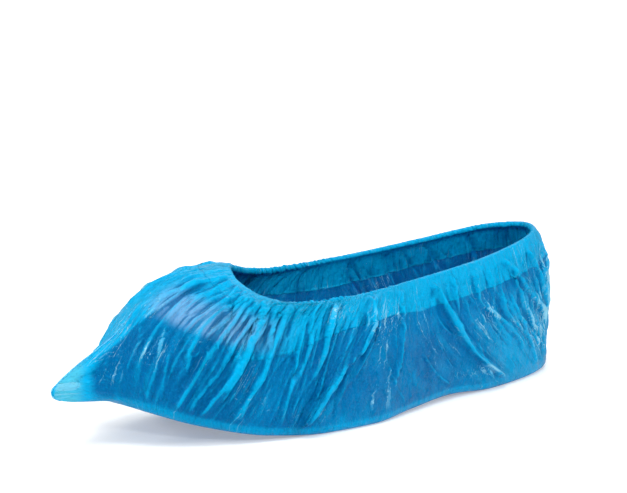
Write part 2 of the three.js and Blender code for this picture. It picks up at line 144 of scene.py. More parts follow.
class Crease(NamedTuple):
    """A listed fold.

    Its path runs through (turn, down) points: degrees round the collar and shares of the way
    down the wall. Width is each side's reach and height the crest's, both in millimetres. Lean
    above zero makes the toeward side steeper, and a height below zero is a trough.
    """

    path: tuple[tuple[float, float], ...]
    width: float
    height: float
    lean: float = 0.0


# Folds of the outer side from the toe to the heel, then those of the inner side
CREASES = (
    Crease(((177.5, 0.02), (177, 0.30), (181.5, 0.52)), 5, 1.8, 0.2),
    Crease(((172, 0.02), (171.5, 0.26), (174, 0.47)), 4, 1.5, -0.3),
    Crease(((169, 0.02), (165, 0.24), (160, 0.54)), 5, 2.0, 0.3),
    Crease(((166.5, 0.01), (156, 0.28), (154, 0.58)), 5, 2.1, 0.4),
    Crease(((161.5, 0.03), (145.5, 0.36), (146.5, 0.56)), 5, 2.2, 0.4),
    Crease(((157, 0.05), (143.5, 0.35), (142, 0.53), (143.5, 0.73), (149.5, 1.0)), 8, 3.6, 0.5),
    Crease(((152.5, 0.07), (137.5, 0.37), (137, 0.63), (145, 0.98)), 6, 2.0, 0.2),
    Crease(((147.5, 0.07), (132.5, 0.45), (133.5, 0.69), (141.5, 1.0)), 7, 2.9, 0.4),
    Crease(((139, 0.08), (125.5, 0.57), (129.5, 0.95)), 6, 2.1, 0.3),
    Crease(((135, 0.06), (127, 0.34), (124.5, 0.57), (131.5, 0.98)), 7, 2.4, 0.3),
    Crease(((122.5, 0.02), (115, 0.50), (117.5, 0.76)), 6, 2.2, 0.2),
    Crease(((112.5, 0.06), (110.5, 0.46), (114.5, 0.82)), 6, 2.2, -0.2),
    Crease(((98, 0.03), (98, 0.35), (105.5, 0.66), (113, 1.0)), 10, 3.4, -0.4),
    Crease(((90, 0.02), (89.5, 0.27), (90, 0.58), (91.5, 0.80)), 6, 2.3, 0.2),
    Crease(((80, 0.02), (77, 0.25), (74, 0.43), (66.5, 0.74), (54.5, 1.0)), 9, 3.9, 0.4),
    Crease(((73.5, 0.0), (72, 0.36)), 5, 1.6, 0.2),
    Crease(((65.5, 0.03), (65.5, 0.26), (54.5, 0.56), (43, 0.86)), 8, 3.0, 0.4),
    Crease(((54.5, 0.04), (45, 0.32), (26.5, 0.66)), 7, 3.1, 0.4),
    Crease(((47, 0.20), (38, 0.42), (27, 0.70)), 4, 1.8, -0.3),
    Crease(((41.5, 0.06), (31, 0.37), (24, 0.62)), 6, 2.6, 0.4),
    Crease(((33, 0.22), (27, 0.44), (21, 0.66)), 4, 1.5, -0.3),
    Crease(((28, 0.04), (20, 0.40), (16, 0.72)), 5, 1.6, 0.2),
    Crease(((50, 0.52), (42, 0.66), (34, 0.86)), 4, 1.8, 0.3),
    Crease(((170.5, 0.60), (168.5, 0.72), (169, 0.86)), 4, 1.4, 0.0),
    Crease(((161, 0.62), (158, 0.78), (160, 0.97)), 4, 1.5, 0.3),
    Crease(((155, 0.68), (154, 0.80), (156, 0.97)), 4, 1.5, 0.0),
    Crease(((176, 0.66), (179.5, 0.82), (184, 0.97)), 4, 1.3, 0.0),
    Crease(((66, 0.62), (64, 0.80), (60, 0.97)), 4, 1.3, 0.3),
    Crease(((84, 0.60), (80, 0.80), (74, 0.98)), 5, 1.5, 0.2),
    Crease(((47, 0.56), (40, 0.80), (36, 0.97)), 5, 1.6, 0.2),
    Crease(((187, 0.02), (188, 0.28), (184, 0.56)), 5, 1.8, -0.2),
    Crease(((194, 0.03), (200, 0.30), (202, 0.62)), 5, 1.9, -0.3),
    Crease(((200, 0.02), (214, 0.34), (212, 0.58), (211, 0.99)), 8, 3.3, -0.4),
    Crease(((207, 0.05), (222, 0.38), (221, 0.66), (214, 0.97)), 6, 2.0, -0.2),
    Crease(((216, 0.06), (231, 0.42), (229, 0.68), (224, 1.0)), 7, 2.9, -0.4),
    Crease(((229, 0.05), (238, 0.46), (236, 0.92)), 6, 2.2, -0.2),
    Crease(((238, 0.06), (244, 0.40), (243, 0.78)), 6, 2.1, -0.2),
    Crease(((248, 0.03), (252, 0.40), (250, 0.72), (247, 1.0)), 8, 3.0, 0.3),
    Crease(((258, 0.05), (257, 0.46), (251, 0.86)), 6, 2.1, 0.2),
    Crease(((268, 0.02), (269, 0.34), (271, 0.82)), 6, 2.2, -0.2),
    Crease(((280, 0.02), (283, 0.28), (290, 0.62), (302, 1.0)), 9, 3.6, -0.4),
    Crease(((291, 0.02), (295, 0.34), (307, 0.84)), 7, 2.6, -0.3),
    Crease(((303, 0.04), (312, 0.36), (325, 0.74)), 7, 2.5, -0.3),
    Crease(((317, 0.05), (327, 0.38), (338, 0.68)), 6, 2.1, -0.2),
    Crease(((333, 0.04), (341, 0.42), (345, 0.74)), 5, 1.7, -0.2),
    Crease(((192, 0.62), (196, 0.80), (194, 0.97)), 4, 1.4, 0.0),
    Crease(((204, 0.66), (203, 0.82), (200, 0.98)), 4, 1.5, 0.0),
    Crease(((276, 0.62), (281, 0.80), (288, 0.98)), 5, 1.5, -0.2),
    Crease(((313, 0.60), (320, 0.80), (325, 0.97)), 5, 1.6, -0.2),
)


class WrinkleFamily(NamedTuple):
    """Small creases strewn in a zone: ranges of turn, start, length, width and height.

    Turns are in degrees, starts are shares of the way down the wall, and length, width and
    height are in millimetres. Sway is how far a crease may swing from the film's own run.
    """

    count: int
    turns: tuple[float, float]
    starts: tuple[float, float]
    lengths: tuple[float, float]
    widths: tuple[float, float]
    heights: tuple[float, float]
    sway: float


WRINKLE_FAMILIES = (
    WrinkleFamily(150, (92, 268), (0.00, 0.22), (40, 98), (1.6, 3.8), (0.6, 1.8), 2),
    WrinkleFamily(80, (268, 452), (0.00, 0.25), (26, 66), (1.6, 3.8), (0.5, 1.6), 3),
    WrinkleFamily(300, (0, 360), (0.04, 0.72), (10, 40), (1.3, 3.0), (0.35, 1.0), 6),
    WrinkleFamily(150, (0, 360), (0.00, 0.20), (14, 38), (1.2, 2.2), (0.5, 1.2), 3),
    WrinkleFamily(200, (138, 222), (0.35, 0.90), (5, 18), (1.0, 2.2), (0.35, 0.9), 9),
    WrinkleFamily(110, (-38, 42), (0.15, 0.82), (6, 22), (1.1, 2.3), (0.35, 0.9), 14),
    WrinkleFamily(90, (40, 110), (0.45, 0.88), (6, 22), (1.1, 2.3), (0.35, 0.9), 14),
    WrinkleFamily(90, (250, 320), (0.45, 0.88), (6, 22), (1.1, 2.3), (0.35, 0.9), 14),
)


class FilmRun(NamedTuple):
    """The way the film's fibres run: drift to the tread and bow midway, in degrees."""

    turn: float
    drift: float
    bow: float


FILM_RUNS = (
    FilmRun(0, 0, 0), FilmRun(15, -6, 0), FilmRun(42, -19, 0), FilmRun(57, -28, 0),
    FilmRun(67, -25, 0), FilmRun(81, -25, 0), FilmRun(91, 0, 0), FilmRun(98, 15, 0),
    FilmRun(112, 3, -3), FilmRun(121, -3, -5), FilmRun(134, -3, -9), FilmRun(147, -6, -13),
    FilmRun(157, -7, -13), FilmRun(166, -9, -7), FilmRun(180, 3, 0), FilmRun(194, 9, 6),
    FilmRun(203, 8, 12), FilmRun(219, 5, 10), FilmRun(230, 4, 7), FilmRun(250, -2, 3),
    FilmRun(262, -8, 0), FilmRun(272, 4, 0), FilmRun(281, 22, 0), FilmRun(312, 22, 0),
    FilmRun(335, 12, 0), FilmRun(360, 0, 0),
)


class GlintCluster(NamedTuple):
    """A place where painted glints and whitened creases gather most: its middle, its reach and how
    much.
    """

    turn: float
    wide: float
    level: float
    high: float
    much: float


# Where painted glints and whitened creases gather
GLINT_CLUSTERS = (
    GlintCluster(14, 16, 0.50, 0.26, 1.0), GlintCluster(34, 10, 0.66, 0.22, 1.0),
    GlintCluster(-16, 14, 0.50, 0.30, 0.8), GlintCluster(174, 7, 0.50, 0.08, 0.7),
    GlintCluster(180, 8, 0.62, 0.16, 0.45), GlintCluster(160, 5, 0.68, 0.12, 0.4),
    GlintCluster(62, 5, 0.50, 0.30, 0.5), GlintCluster(66, 7, 0.88, 0.06, 0.8),
    GlintCluster(96, 6, 0.30, 0.12, 0.5), GlintCluster(110, 5, 0.14, 0.10, 0.5),
    GlintCluster(205, 14, 0.55, 0.20, 0.5), GlintCluster(285, 12, 0.55, 0.30, 0.5),
)

# Directions of the creases that fan out from the tail's tip, in degrees above level
TAIL_FAN = (-24, -12, -4, 3, 9, 16, 22, 29, 35, 42, 50, 58)


class Lamp(NamedTuple):
    """A soft disc of light: its place and size in metres, and its power in watts."""

    name: str
    place: tuple[float, float, float]
    size: float
    power: float


LAMPS = (
    Lamp("top", (0.2, 0.3, 1.9), 0.8, 18.0), Lamp("key", (1.3, 1.3, 1.2), 0.2, 10.0),
    Lamp("side", (-0.9, 1.7, 0.9), 0.2, 11.0), Lamp("front", (1.8, -0.7, 0.9), 0.4, 12.0),
    Lamp("back", (-1.3, -1.2, 1.5), 1.4, 8.0),
)


def smooth_step(value: Array) -> Array:
    """Eases from 0 to 1 where a value goes from 0 to 1.

    Args:
        value: The values, which may lie outside the range.

    Returns:
        The eased values.
    """
    held = np.clip(value, 0.0, 1.0)
    return held * held * (3.0 - 2.0 * held)


def signed_power(value: Array, power: Union[float, Array]) -> Array:
    """Raises a size to a power and keeps its sign."""
    return np.sign(value) * np.abs(value) ** power


def unit(vectors: Array) -> Array:
    """Scales vectors in the last axis to length one."""
    return vectors / np.maximum(np.linalg.norm(vectors, axis=-1, keepdims=True), 1e-12)


def hermite(low: Array, high: Array, slopes: tuple[Array, Array], span: Array,
            share: Array) -> Array:
    """Joins two values by a cubic with given slopes.

    Args:
        low: Values at the start of each span.
        high: Values at its end.
        slopes: Slopes at the start and at the end.
        span: Lengths of the spans.
        share: Shares of the way along them.

    Returns:
        The values along the cubics.
    """
    square = share * share
    cube = square * share
    bends = slopes[0] * (cube - 2 * square + share) + slopes[1] * (cube - square)
    return low * (2 * cube - 3 * square + 1) + high * (3 * square - 2 * cube) + span * bends


@dataclass(frozen=True)
class LevelCurve:
    """A smooth curve through a table's rows that never swings past them."""

    places: Array
    values: Array

    @classmethod
    def of(cls, rows: Sequence[tuple[float, ...]], column: int) -> "LevelCurve":
        """Reads a column of a table whose first column is the place.

        Args:
            rows: The table.
            column: Which column holds the values.

        Returns:
            The curve.
        """
        table = np.array([tuple(row) for row in rows], float)
        return cls(table[:, 0], table[:, column])

    def at(self, place: Array) -> Array:
        """Gives the curve's values.

        Args:
            place: Where to read it, held within the table.

        Returns:
            The values there.
        """
        held = np.clip(place, self.places[0], self.places[-1])
        rates = np.diff(self.values) / np.diff(self.places)
        slopes = np.r_[rates[0], np.zeros(len(rates) - 1), rates[-1]]
        product = rates[:-1] * rates[1:]
        total = rates[:-1] + rates[1:]
        rising = product > 0
        slopes[1:-1][rising] = 2 * product[rising] / total[rising]
        row = np.clip(np.searchsorted(self.places, held, side="right") - 1, 0, len(rates) - 1)
        span = self.places[row + 1] - self.places[row]
        share = (held - self.places[row]) / span
        ends = (slopes[row], slopes[row + 1])
        return hermite(self.values[row], self.values[row + 1], ends, span, share)


@dataclass(frozen=True)
class RingCurve:
    """A smooth curve through a table that closes on itself after a full turn."""

    turns: Array
    values: Array

    @classmethod
    def of(cls, rows: Sequence[tuple[float, ...]], column: int) -> "RingCurve":
        """Reads a column of a table whose first column is the turn in degrees.

        Args:
            rows: The table.
            column: Which column holds the values.

        Returns:
            The curve.
        """
        table = np.array([tuple(row) for row in rows], float)
        turns = np.r_[table[-2:, 0] - FULL_TURN, table[:, 0], table[:2, 0] + FULL_TURN]
        values = np.r_[table[-2:, column], table[:, column], table[:2, column]]
        return cls(turns, values)

    def at(self, degrees: Array) -> Array:
        """Gives the curve's values.

        Args:
            degrees: Turns in degrees.

        Returns:
            The values there.
        """
        place = np.mod(degrees, FULL_TURN)
        slopes = np.zeros_like(self.values)
        slopes[1:-1] = (self.values[2:] - self.values[:-2]) / (self.turns[2:] - self.turns[:-2])
        row = np.clip(np.searchsorted(self.turns, place, side="right") - 1, 0, len(slopes) - 2)
        span = self.turns[row + 1] - self.turns[row]
        share = (place - self.turns[row]) / span
        ends = (slopes[row], slopes[row + 1])
        return hermite(self.values[row], self.values[row + 1], ends, span, share)


@dataclass(frozen=True)
class WornForm:
    """The form that the film keeps: tread, collar, side walls and welded ends, in millimetres."""

    sole_length: float = 313.0
    ball_width: float = 104.0
    toe_spring: float = 23.0
    waist_lift: float = 2.0
    squareness: float = 2.35
    edge_radius: float = 4.0
    turn_under: float = 7.0
    collar_length: float = 234.0
    collar_width: float = 80.0
    collar_height: float = 90.0
    collar_setback: float = 7.0
    hem_width: float = 16.0
    loop_radius: float = 2.4
    toe_tail: float = 42.5
    heel_fin: float = 6.0
    fin_flare: float = 5.0
    tail_half_thickness: float = 0.4
    tail_sway: float = 3.2
    origin_along: float = 174.834
    origin_across: float = 4.501
    arc_samples: int = 140

    def sole_height(self, along: Array) -> Array:
        """Gives the height of the tread's underside.

        Args:
            along: Places along the tread.

        Returns:
            The heights.
        """
        at = along / self.sole_length
        arch = LevelCurve.of(SOLE_SECTIONS, 4).at(at)
        spring = LevelCurve.of(SOLE_SECTIONS, 5).at(at)
        return self.waist_lift * arch + self.toe_spring * spring

    def sole_share(self, turns: Array) -> Array:
        """Gives the share of the tread's length at turns in degrees."""
        return (1 - signed_power(np.cos(np.radians(turns)), 2 / self.squareness)) / 2

    def sole_middle(self, at: Array) -> Array:
        """Gives how far the tread's middle line lies to the outer side."""
        return self.ball_width * LevelCurve.of(SOLE_SECTIONS, 1).at(at)

    def sole_point(self, turns: Array, inset: Union[float, Array] = 0.0) -> Array:
        """Gives points of the tread's outline.

        Args:
            turns: Turns in degrees.
            inset: How far inside the outline the points lie.

        Returns:
            The points, one for each turn.
        """
        def outline(degrees: Array) -> Array:
            """Gives the outline's points, flat.

            Args:
                degrees: Turns in degrees.

            Returns:
                Places along and across.
            """
            at = self.sole_share(degrees)
            sine = np.sin(np.radians(degrees))
            outer = LevelCurve.of(SOLE_SECTIONS, 2).at(at)
            inner = LevelCurve.of(SOLE_SECTIONS, 3).at(at)
            half = self.ball_width * np.where(sine >= 0, outer, inner)
            across = self.sole_middle(at) + half * signed_power(sine, 2 / self.squareness)
            return np.stack([self.sole_length * at, across], -1)

        tangent = unit(outline(turns + 0.5) - outline(turns - 0.5))
        inward = np.stack([tangent[..., 1], -tangent[..., 0]], -1)
        flat = outline(turns) + inward * np.broadcast_to(inset, np.shape(turns))[..., None]
        return np.concatenate([flat, self.sole_height(flat[..., :1])], -1)

    def collar_point(self, turns: Array) -> Array:
        """Gives points of the collar's edge.

        Args:
            turns: Turns in degrees.

        Returns:
            The points.
        """
        along = self.collar_setback + self.collar_length * RingCurve.of(COLLAR_POINTS, 1).at(turns)
        across = self.collar_width * RingCurve.of(COLLAR_POINTS, 2).at(turns)
        up = self.collar_height * RingCurve.of(COLLAR_POINTS, 3).at(turns)
        return np.stack([along, across, up], -1)

    def wall_curves(self, turns: Array) -> tuple[Array, Array]:
        """Follows the film down its side, from the collar to the tread's edge.

        Args:
            turns: Turns in degrees.

        Returns:
            Points by turn and sample, and the length walked to each of them.
        """
        at = self.sole_share(turns)
        collar = self.collar_point(turns)
        rim = self.sole_point(turns)
        rim[:, 2] += self.edge_radius
        lean = np.radians(LevelCurve.of(WALL_PROFILES, 2).at(at))[:, None]
        power = 2 / LevelCurve.of(WALL_PROFILES, 1).at(at)[:, None]
        angle = lean + (np.pi / 2 - lean) * np.linspace(0, 1, self.arc_samples + 1)[None]
        out = np.sin(angle) ** power
        drop = 1 - np.maximum(np.cos(angle), 0) ** power
        out = (out - out[:, :1]) / (1 - out[:, :1])
        drop = (drop - drop[:, :1]) / (1 - drop[:, :1])
        span = (rim - collar)[:, None]
        points = collar[:, None] + span * np.stack([out, out, drop], -1)
        steps = np.linalg.norm(np.diff(points, axis=1), axis=-1)
        lengths = np.concatenate([np.zeros((len(turns), 1)), np.cumsum(steps, axis=1)], 1)
        return points, lengths

    def hem_lengths(self, turns: Array, points: Array, lengths: Array) -> Array:
        """Gives how far down each turn's curve the hem ends, longer where the curve slants.

        Args:
            turns: Turns in degrees.
            points: Points of the wall curves.
            lengths: Lengths walked to them.

        Returns:
            One length for each turn.
        """
        along = unit(self.collar_point(turns + 1.0) - self.collar_point(turns - 1.0))
        below = along_curves(points, lengths, np.full((len(turns), 1), self.hem_width))[:, 0]
        down = unit(below - points[:, 0])
        dots = np.sum(along * down, axis=-1)
        return self.hem_width / np.sqrt(1 - dots**2)

    def seam_facts(self, turns: Array) -> tuple[Array, Array]:
        """Gives which turns lie in the front half, and where the seam is across."""
        at = self.sole_share(turns)
        return at > 0.5, self.sole_middle(at)

    def fin_shift(self, points: Array, turns: Array) -> Array:
        """Gives how far the welded ends pull the film along, and how far the tail sways aside.

        Args:
            points: Points by column and row.
            turns: Their turns in degrees, in a shape that fits the points'.

        Returns:
            The shifts, as vectors.
        """
        front, middle = self.seam_facts(turns)
        spread = np.maximum(np.abs(points[..., 1] - middle) - self.tail_half_thickness, 0)
        fade = np.exp(-spread / self.fin_flare)
        toe_rise = (points[..., 2] - self.toe_spring) / (self.collar_height - self.toe_spring)
        toe = self.toe_tail * LevelCurve.of(TAIL_OUTLINE, 1).at(toe_rise) * fade
        heel_rise = points[..., 2] / self.collar_height
        heel = self.heel_fin * LevelCurve.of(HEEL_OUTLINE, 1).at(heel_rise) * fade
        along = np.where(front, toe, -heel)
        share = np.where(front, toe / self.toe_tail, 0)
        sway = self.tail_sway * share**1.5 * np.sin(4.2 * toe_rise + 0.4)
        return np.stack([along, sway, 0 * along], -1)

    def tail_tip(self) -> Array:
        """Finds the toe's tail.

        Returns:
            Its tip.
        """
        rise = TAIL_OUTLINE[5].rise
        height = self.toe_spring + rise * (self.collar_height - self.toe_spring)
        middle = float(self.sole_middle(np.array([1.0]))[0])
        return np.array([self.sole_length + self.toe_tail - 3.0, middle, height])

    def place(self, points: Array) -> Array:
        """Moves points from the form's own frame to the part's, in metres."""
        origin = np.array([self.origin_along, self.origin_across, 0.0])
        return (points - origin) * METRE


def along_curves(points: Array, lengths: Array, places: Array) -> Array:
    """Reads points of several curves at given lengths along each.

    Args:
        points: Points by curve and sample.
        lengths: Lengths walked to them.
        places: The lengths asked for, by curve and place.

    Returns:
        Points by curve and place.
    """
    found = np.empty(places.shape + (3,))
    for curve in range(len(points)):
        for axis in range(3):
            found[curve, :, axis] = np.interp(places[curve], lengths[curve], points[curve, :, axis])
    return found


def ring_step(points: Array) -> Array:
    """Gives the way from each turn's neighbour before to the one after, on a closed ring."""
    return np.roll(points, -1, axis=0) - np.roll(points, 1, axis=0)


def grid_normals(points: Array) -> Array:
    """Gives outward directions of a ring grid whose rows go down the film.

    Args:
        points: Points by turn and row.

    Returns:
        Unit vectors by turn and row.
    """
    up = -np.gradient(points, axis=1)
    return unit(np.cross(up, ring_step(points)))


def turn_gap(degrees: Array) -> Array:
    """Brings a difference of turns between minus and plus half a turn."""
    return (degrees + FULL_TURN / 2) % FULL_TURN - FULL_TURN / 2


@dataclass(frozen=True)
class FibreMap:
    """Tells how the film's fibres run down the wall. A fibre is named by its turn at the collar."""

    blur: float = 3.0
    seam_calm: float = 5.0

    def turns(self, fibres: Array, down: Array) -> Array:
        """Gives the turns that fibres reach.

        Args:
            fibres: The fibres, one for each column.
            down: Shares of the way down the wall, by column and row.

        Returns:
            Turns in degrees, by column and row.
        """
        table = np.array(FILM_RUNS)
        near = (fibres[:, None] + np.linspace(-self.blur, self.blur, 9)) % FULL_TURN
        from_seam = turn_gap(2 * fibres) / 2
        free = 1 - np.exp(-((from_seam / self.seam_calm) ** 2))
        drift = (np.interp(near, table[:, 0], table[:, 1]).mean(axis=1) * free)[:, None]
        bow = (np.interp(near, table[:, 0], table[:, 2]).mean(axis=1) * free)[:, None]
        return fibres[:, None] + drift * down**2 + bow * 4 * down * (1 - down)


@dataclass(frozen=True)
class WallTable:
    """The form's side wall, to be read at any turn and share of the way down.

    Points are by step of turn and share. Lengths are the wall's, and hems those of the hem.
    """

    step: float
    points: Array
    lengths: Array
    hems: Array

    @classmethod
    def of(cls, form: WornForm, step: float = 0.25, shares: int = 150) -> "WallTable":
        """Measures a form.

        Args:
            form: The form.
            step: Degrees from one turn of the table to the next.
            shares: How many stretches the wall is cut into.

        Returns:
            The table.
        """
        turns = np.arange(0, FULL_TURN + step / 2, step)
        curves, walked = form.wall_curves(turns)
        total = walked[:, -1]
        points = along_curves(curves, walked, total[:, None] * np.linspace(0, 1, shares + 1))
        return cls(step, points, total, form.hem_lengths(turns, curves, walked))

    def at(self, turns: Array, down: Array) -> Array:
        """Gives the wall's points.

        Args:
            turns: Turns in degrees.
            down: Shares of the way down, in the same shape.

        Returns:
            The points.
        """
        columns, rows = self.points.shape[0] - 1, self.points.shape[1] - 1
        place, level = turns % FULL_TURN / self.step, np.clip(down, 0, 1) * rows
        column = np.clip(np.floor(place).astype(int), 0, columns - 1)
        row = np.clip(np.floor(level).astype(int), 0, rows - 1)
        across, along = (place - column)[..., None], (level - row)[..., None]
        upper = self.points[column, row] * (1 - across) + self.points[column + 1, row] * across
        lower = (self.points[column, row + 1] * (1 - across)
                 + self.points[column + 1, row + 1] * across)
        return upper * (1 - along) + lower * along

    def length(self, turns: Array) -> Array:
        """Gives the wall's length at turns in degrees."""
        return np.interp(turns % FULL_TURN, np.arange(len(self.lengths)) * self.step, self.lengths)

    def hem(self, turns: Array) -> Array:
        """Gives the hem's length at turns in degrees."""
        return np.interp(turns % FULL_TURN, np.arange(len(self.hems)) * self.step, self.hems)


class FilmPlaces(NamedTuple):
    """Where the points of a grid lie on the film.

    Fibre is in degrees, one for each column. The rest is by column and row: turn in degrees,
    share of the way down the wall, millimetres down it, and millimetres in a degree of turn
    and in a degree of fibre.
    """

    fibre: Array
    turn: Array
    down: Array
    length: Array
    per_degree: Array
    per_fibre: Array


@dataclass(frozen=True)
class Relief:
    """The film's folds, wrinkles and gathers, as heights above the worn form."""

    fold_width: float = 0.58
    gather_count: int = 210
    gather_height: float = 0.55
    crest_round: float = 0.25
    crumple: float = 0.5
    tail_crease: float = 1.8
    tail_width: float = 2.2
    tail_lead: float = 5.0
    seed: int = 7

    def tent(self, gap: Array, width: float, lean: float) -> Array:
        """Gives a crease's section: a tent with a rounded crest.

        Args:
            gap: Millimetres from the crest, with the toeward side above zero.
            width: Reach of a side with no lean.
            lean: How much steeper the toeward side is.

        Returns:
            Shares of the crest's height.
        """
        reach = np.where(gap > 0, width * (1 - 0.72 * lean), width * (1 + 0.72 * lean))
        rounded = np.sqrt(gap**2 + self.crest_round**2) - self.crest_round
        tall = np.clip(1 - rounded / reach, 0, None)
        return tall * (0.25 + 0.75 * tall)

    def main_folds(self, places: FilmPlaces) -> Array:
        """Sums the listed folds.

        Args:
            places: Where the points lie.

        Returns:
            Heights by turn and row.
        """
        total = np.zeros_like(places.down)
        for crease in CREASES:
            path = np.array(crease.path)
            curve = LevelCurve(path[:, 1], path[:, 0])
            gap = turn_gap(places.turn - curve.at(places.down)) * places.per_degree
            along = (places.down - path[0, 1]) / (path[-1, 1] - path[0, 1])
            fade = smooth_step(along / 0.09)
            if path[-1, 1] < 0.9:
                fade = fade * smooth_step((1.06 - along) / 0.3)
            width = crease.width * self.fold_width
            total += crease.height * fade * self.tent(gap, width, crease.lean)
        return total

    def small_folds(self, places: FilmPlaces) -> Array:
        """Sums the strewn wrinkles, which follow the film's fibres.

        Args:
            places: Where the points lie.

        Returns:
            Heights by turn and row.
        """
        rng = np.random.default_rng(self.seed)
        heights = np.zeros_like(places.down)
        for family in WRINKLE_FAMILIES:
            for _ in range(family.count):
                fibre = rng.uniform(*family.turns)
                start = rng.uniform(*family.starts)
                span = rng.uniform(*family.lengths)
                sway = rng.normal(0, family.sway) * span / 40.0
                bow = rng.normal(0, family.sway) * span / 60.0
                width = rng.uniform(*family.widths)
                height = rng.uniform(*family.heights) * rng.choice([1.0, 1.0, -0.7])
                lean = rng.uniform(-0.9, 0.9)
                near = np.abs(turn_gap(places.fibre - fibre)) < 25
                total = places.length[near] / np.maximum(places.down[near], 1e-6)
                along = (places.length[near] - start * total) / span
                centre = fibre + sway * along + bow * 4 * along * (1 - along)
                gap = turn_gap(places.fibre[near, None] - centre) * places.per_fibre[near]
                fade = smooth_step(along / 0.3) * smooth_step((1 - along) / 0.4)
                heights[near] += height * fade * self.tent(gap, width, lean)
        return heights

    def gathers(self, places: FilmPlaces) -> Array:
        """Gives the fine pleats that the elastic makes at the collar.

        Args:
            places: Where the points lie.

        Returns:
            Heights by turn and row.
        """
        rng = np.random.default_rng(self.seed + 1)
        marks = np.cumsum(rng.uniform(0.35, 1.65, self.gather_count))
        marks *= FULL_TURN / marks[-1]
        sizes = rng.uniform(0.15, 1.35, self.gather_count)
        reaches = rng.uniform(6, 36, self.gather_count)
        widths = rng.uniform(1.0, 2.0, self.gather_count)
        leans = rng.uniform(-0.8, 0.8, self.gather_count)
        heights = np.zeros_like(places.down)
        for mark, size, reach, width, lean in zip(marks, sizes, reaches, widths, leans):
            near = np.abs(turn_gap(places.fibre - mark)) < 9
            gap = turn_gap(places.fibre[near, None] - mark) * places.per_fibre[near]
            fade = smooth_step(1 - places.length[near] / reach)
            heights[near] += size * fade * self.tent(gap, width, lean)
        return self.gather_height * heights

    def crumples(self, around: Array, length: Array) -> Array:
        """Gives broken facets all over the film.

        Args:
            around: Shares of the way round, by turn and row.
            length: Millimetres down from the collar, by turn and row.

        Returns:
            Heights by turn and row.
        """
        broad = ridged_noise(around, length / 24.0, 64, self.seed + 2)
        middle = ridged_noise(around, length / 11.0, 126, self.seed + 3)
        fine = ridged_noise(around, length / 5.0, 230, self.seed + 4)
        return self.crumple * (broad + 0.6 * middle + 0.3 * fine)

    def tail_creases(self, points: Array, share: Array, tip: Array) -> Array:
        """Gives the creases that fan out from the tail's tip.

        Args:
            points: Points by turn and row.
            share: How much of the tail's reach each point has.
            tip: The tip.

        Returns:
            Heights by turn and row.
        """
        back = np.maximum(tip[0] - points[..., 0], 0.0) + self.tail_lead
        rise = np.degrees(np.arctan2(points[..., 2] - tip[2], back))
        heights = np.zeros_like(rise)
        sizes, leans = np.tile([1.0, -0.6, 0.8], 5), np.tile([0.6, -0.5], 8)
        for centre, size, lean in zip(TAIL_FAN, sizes, leans):
            gap = (rise - centre) * back * math.pi / 180
            heights += size * self.tent(gap, self.tail_width, lean)
        return self.tail_crease * heights * smooth_step(share / 0.25)


def calm(from_seam: Array, reach: float) -> Array:
    """Gives how far a relief may rise at distances from a weld."""
    return 1 - np.exp(-((from_seam / reach) ** 2))


def ridged_noise(around: Array, down: Array, cells: int, seed: int) -> Array:
    """Gives noise with sharp crests that closes on itself round the film.

    Args:
        around: Shares of the way round.
        down: Cells down the film.
        cells: How many cells go round.
        seed: Which noise.

    Returns:
        Values between about minus one half and one half.
    """
    rng = np.random.default_rng(seed)
    lattice = rng.uniform(0, 1, (cells, 64))
    place = around * cells
    column = np.floor(place).astype(int)
    row = np.floor(down).astype(int)
    across = smooth_step(place - column)
    along = smooth_step(down - row)
    left = column % cells
    right = (column + 1) % cells
    top = row % 64
    bottom = (row + 1) % 64
    upper = lattice[left, top] * (1 - across) + lattice[right, top] * across
    lower = lattice[left, bottom] * (1 - across) + lattice[right, bottom] * across
    smooth = upper * (1 - along) + lower * along
    return 0.5 - np.abs(2 * smooth - 1)


class FilmGrid(NamedTuple):
    """A stretch of the film's outer skin, by column and row, in millimetres.

    Across and run are the film's own width, by place and by fibre. Relief is how high its
    folds stand. Shades hold the painted light and shade, the painted highlight over the toe,
    the share of the hem's width and where painted glints and whitened creases gather.
    """

    points: Array
    normals: Array
    across: Array
    run: Array
    length: Array
    relief: Array
    shades: Array


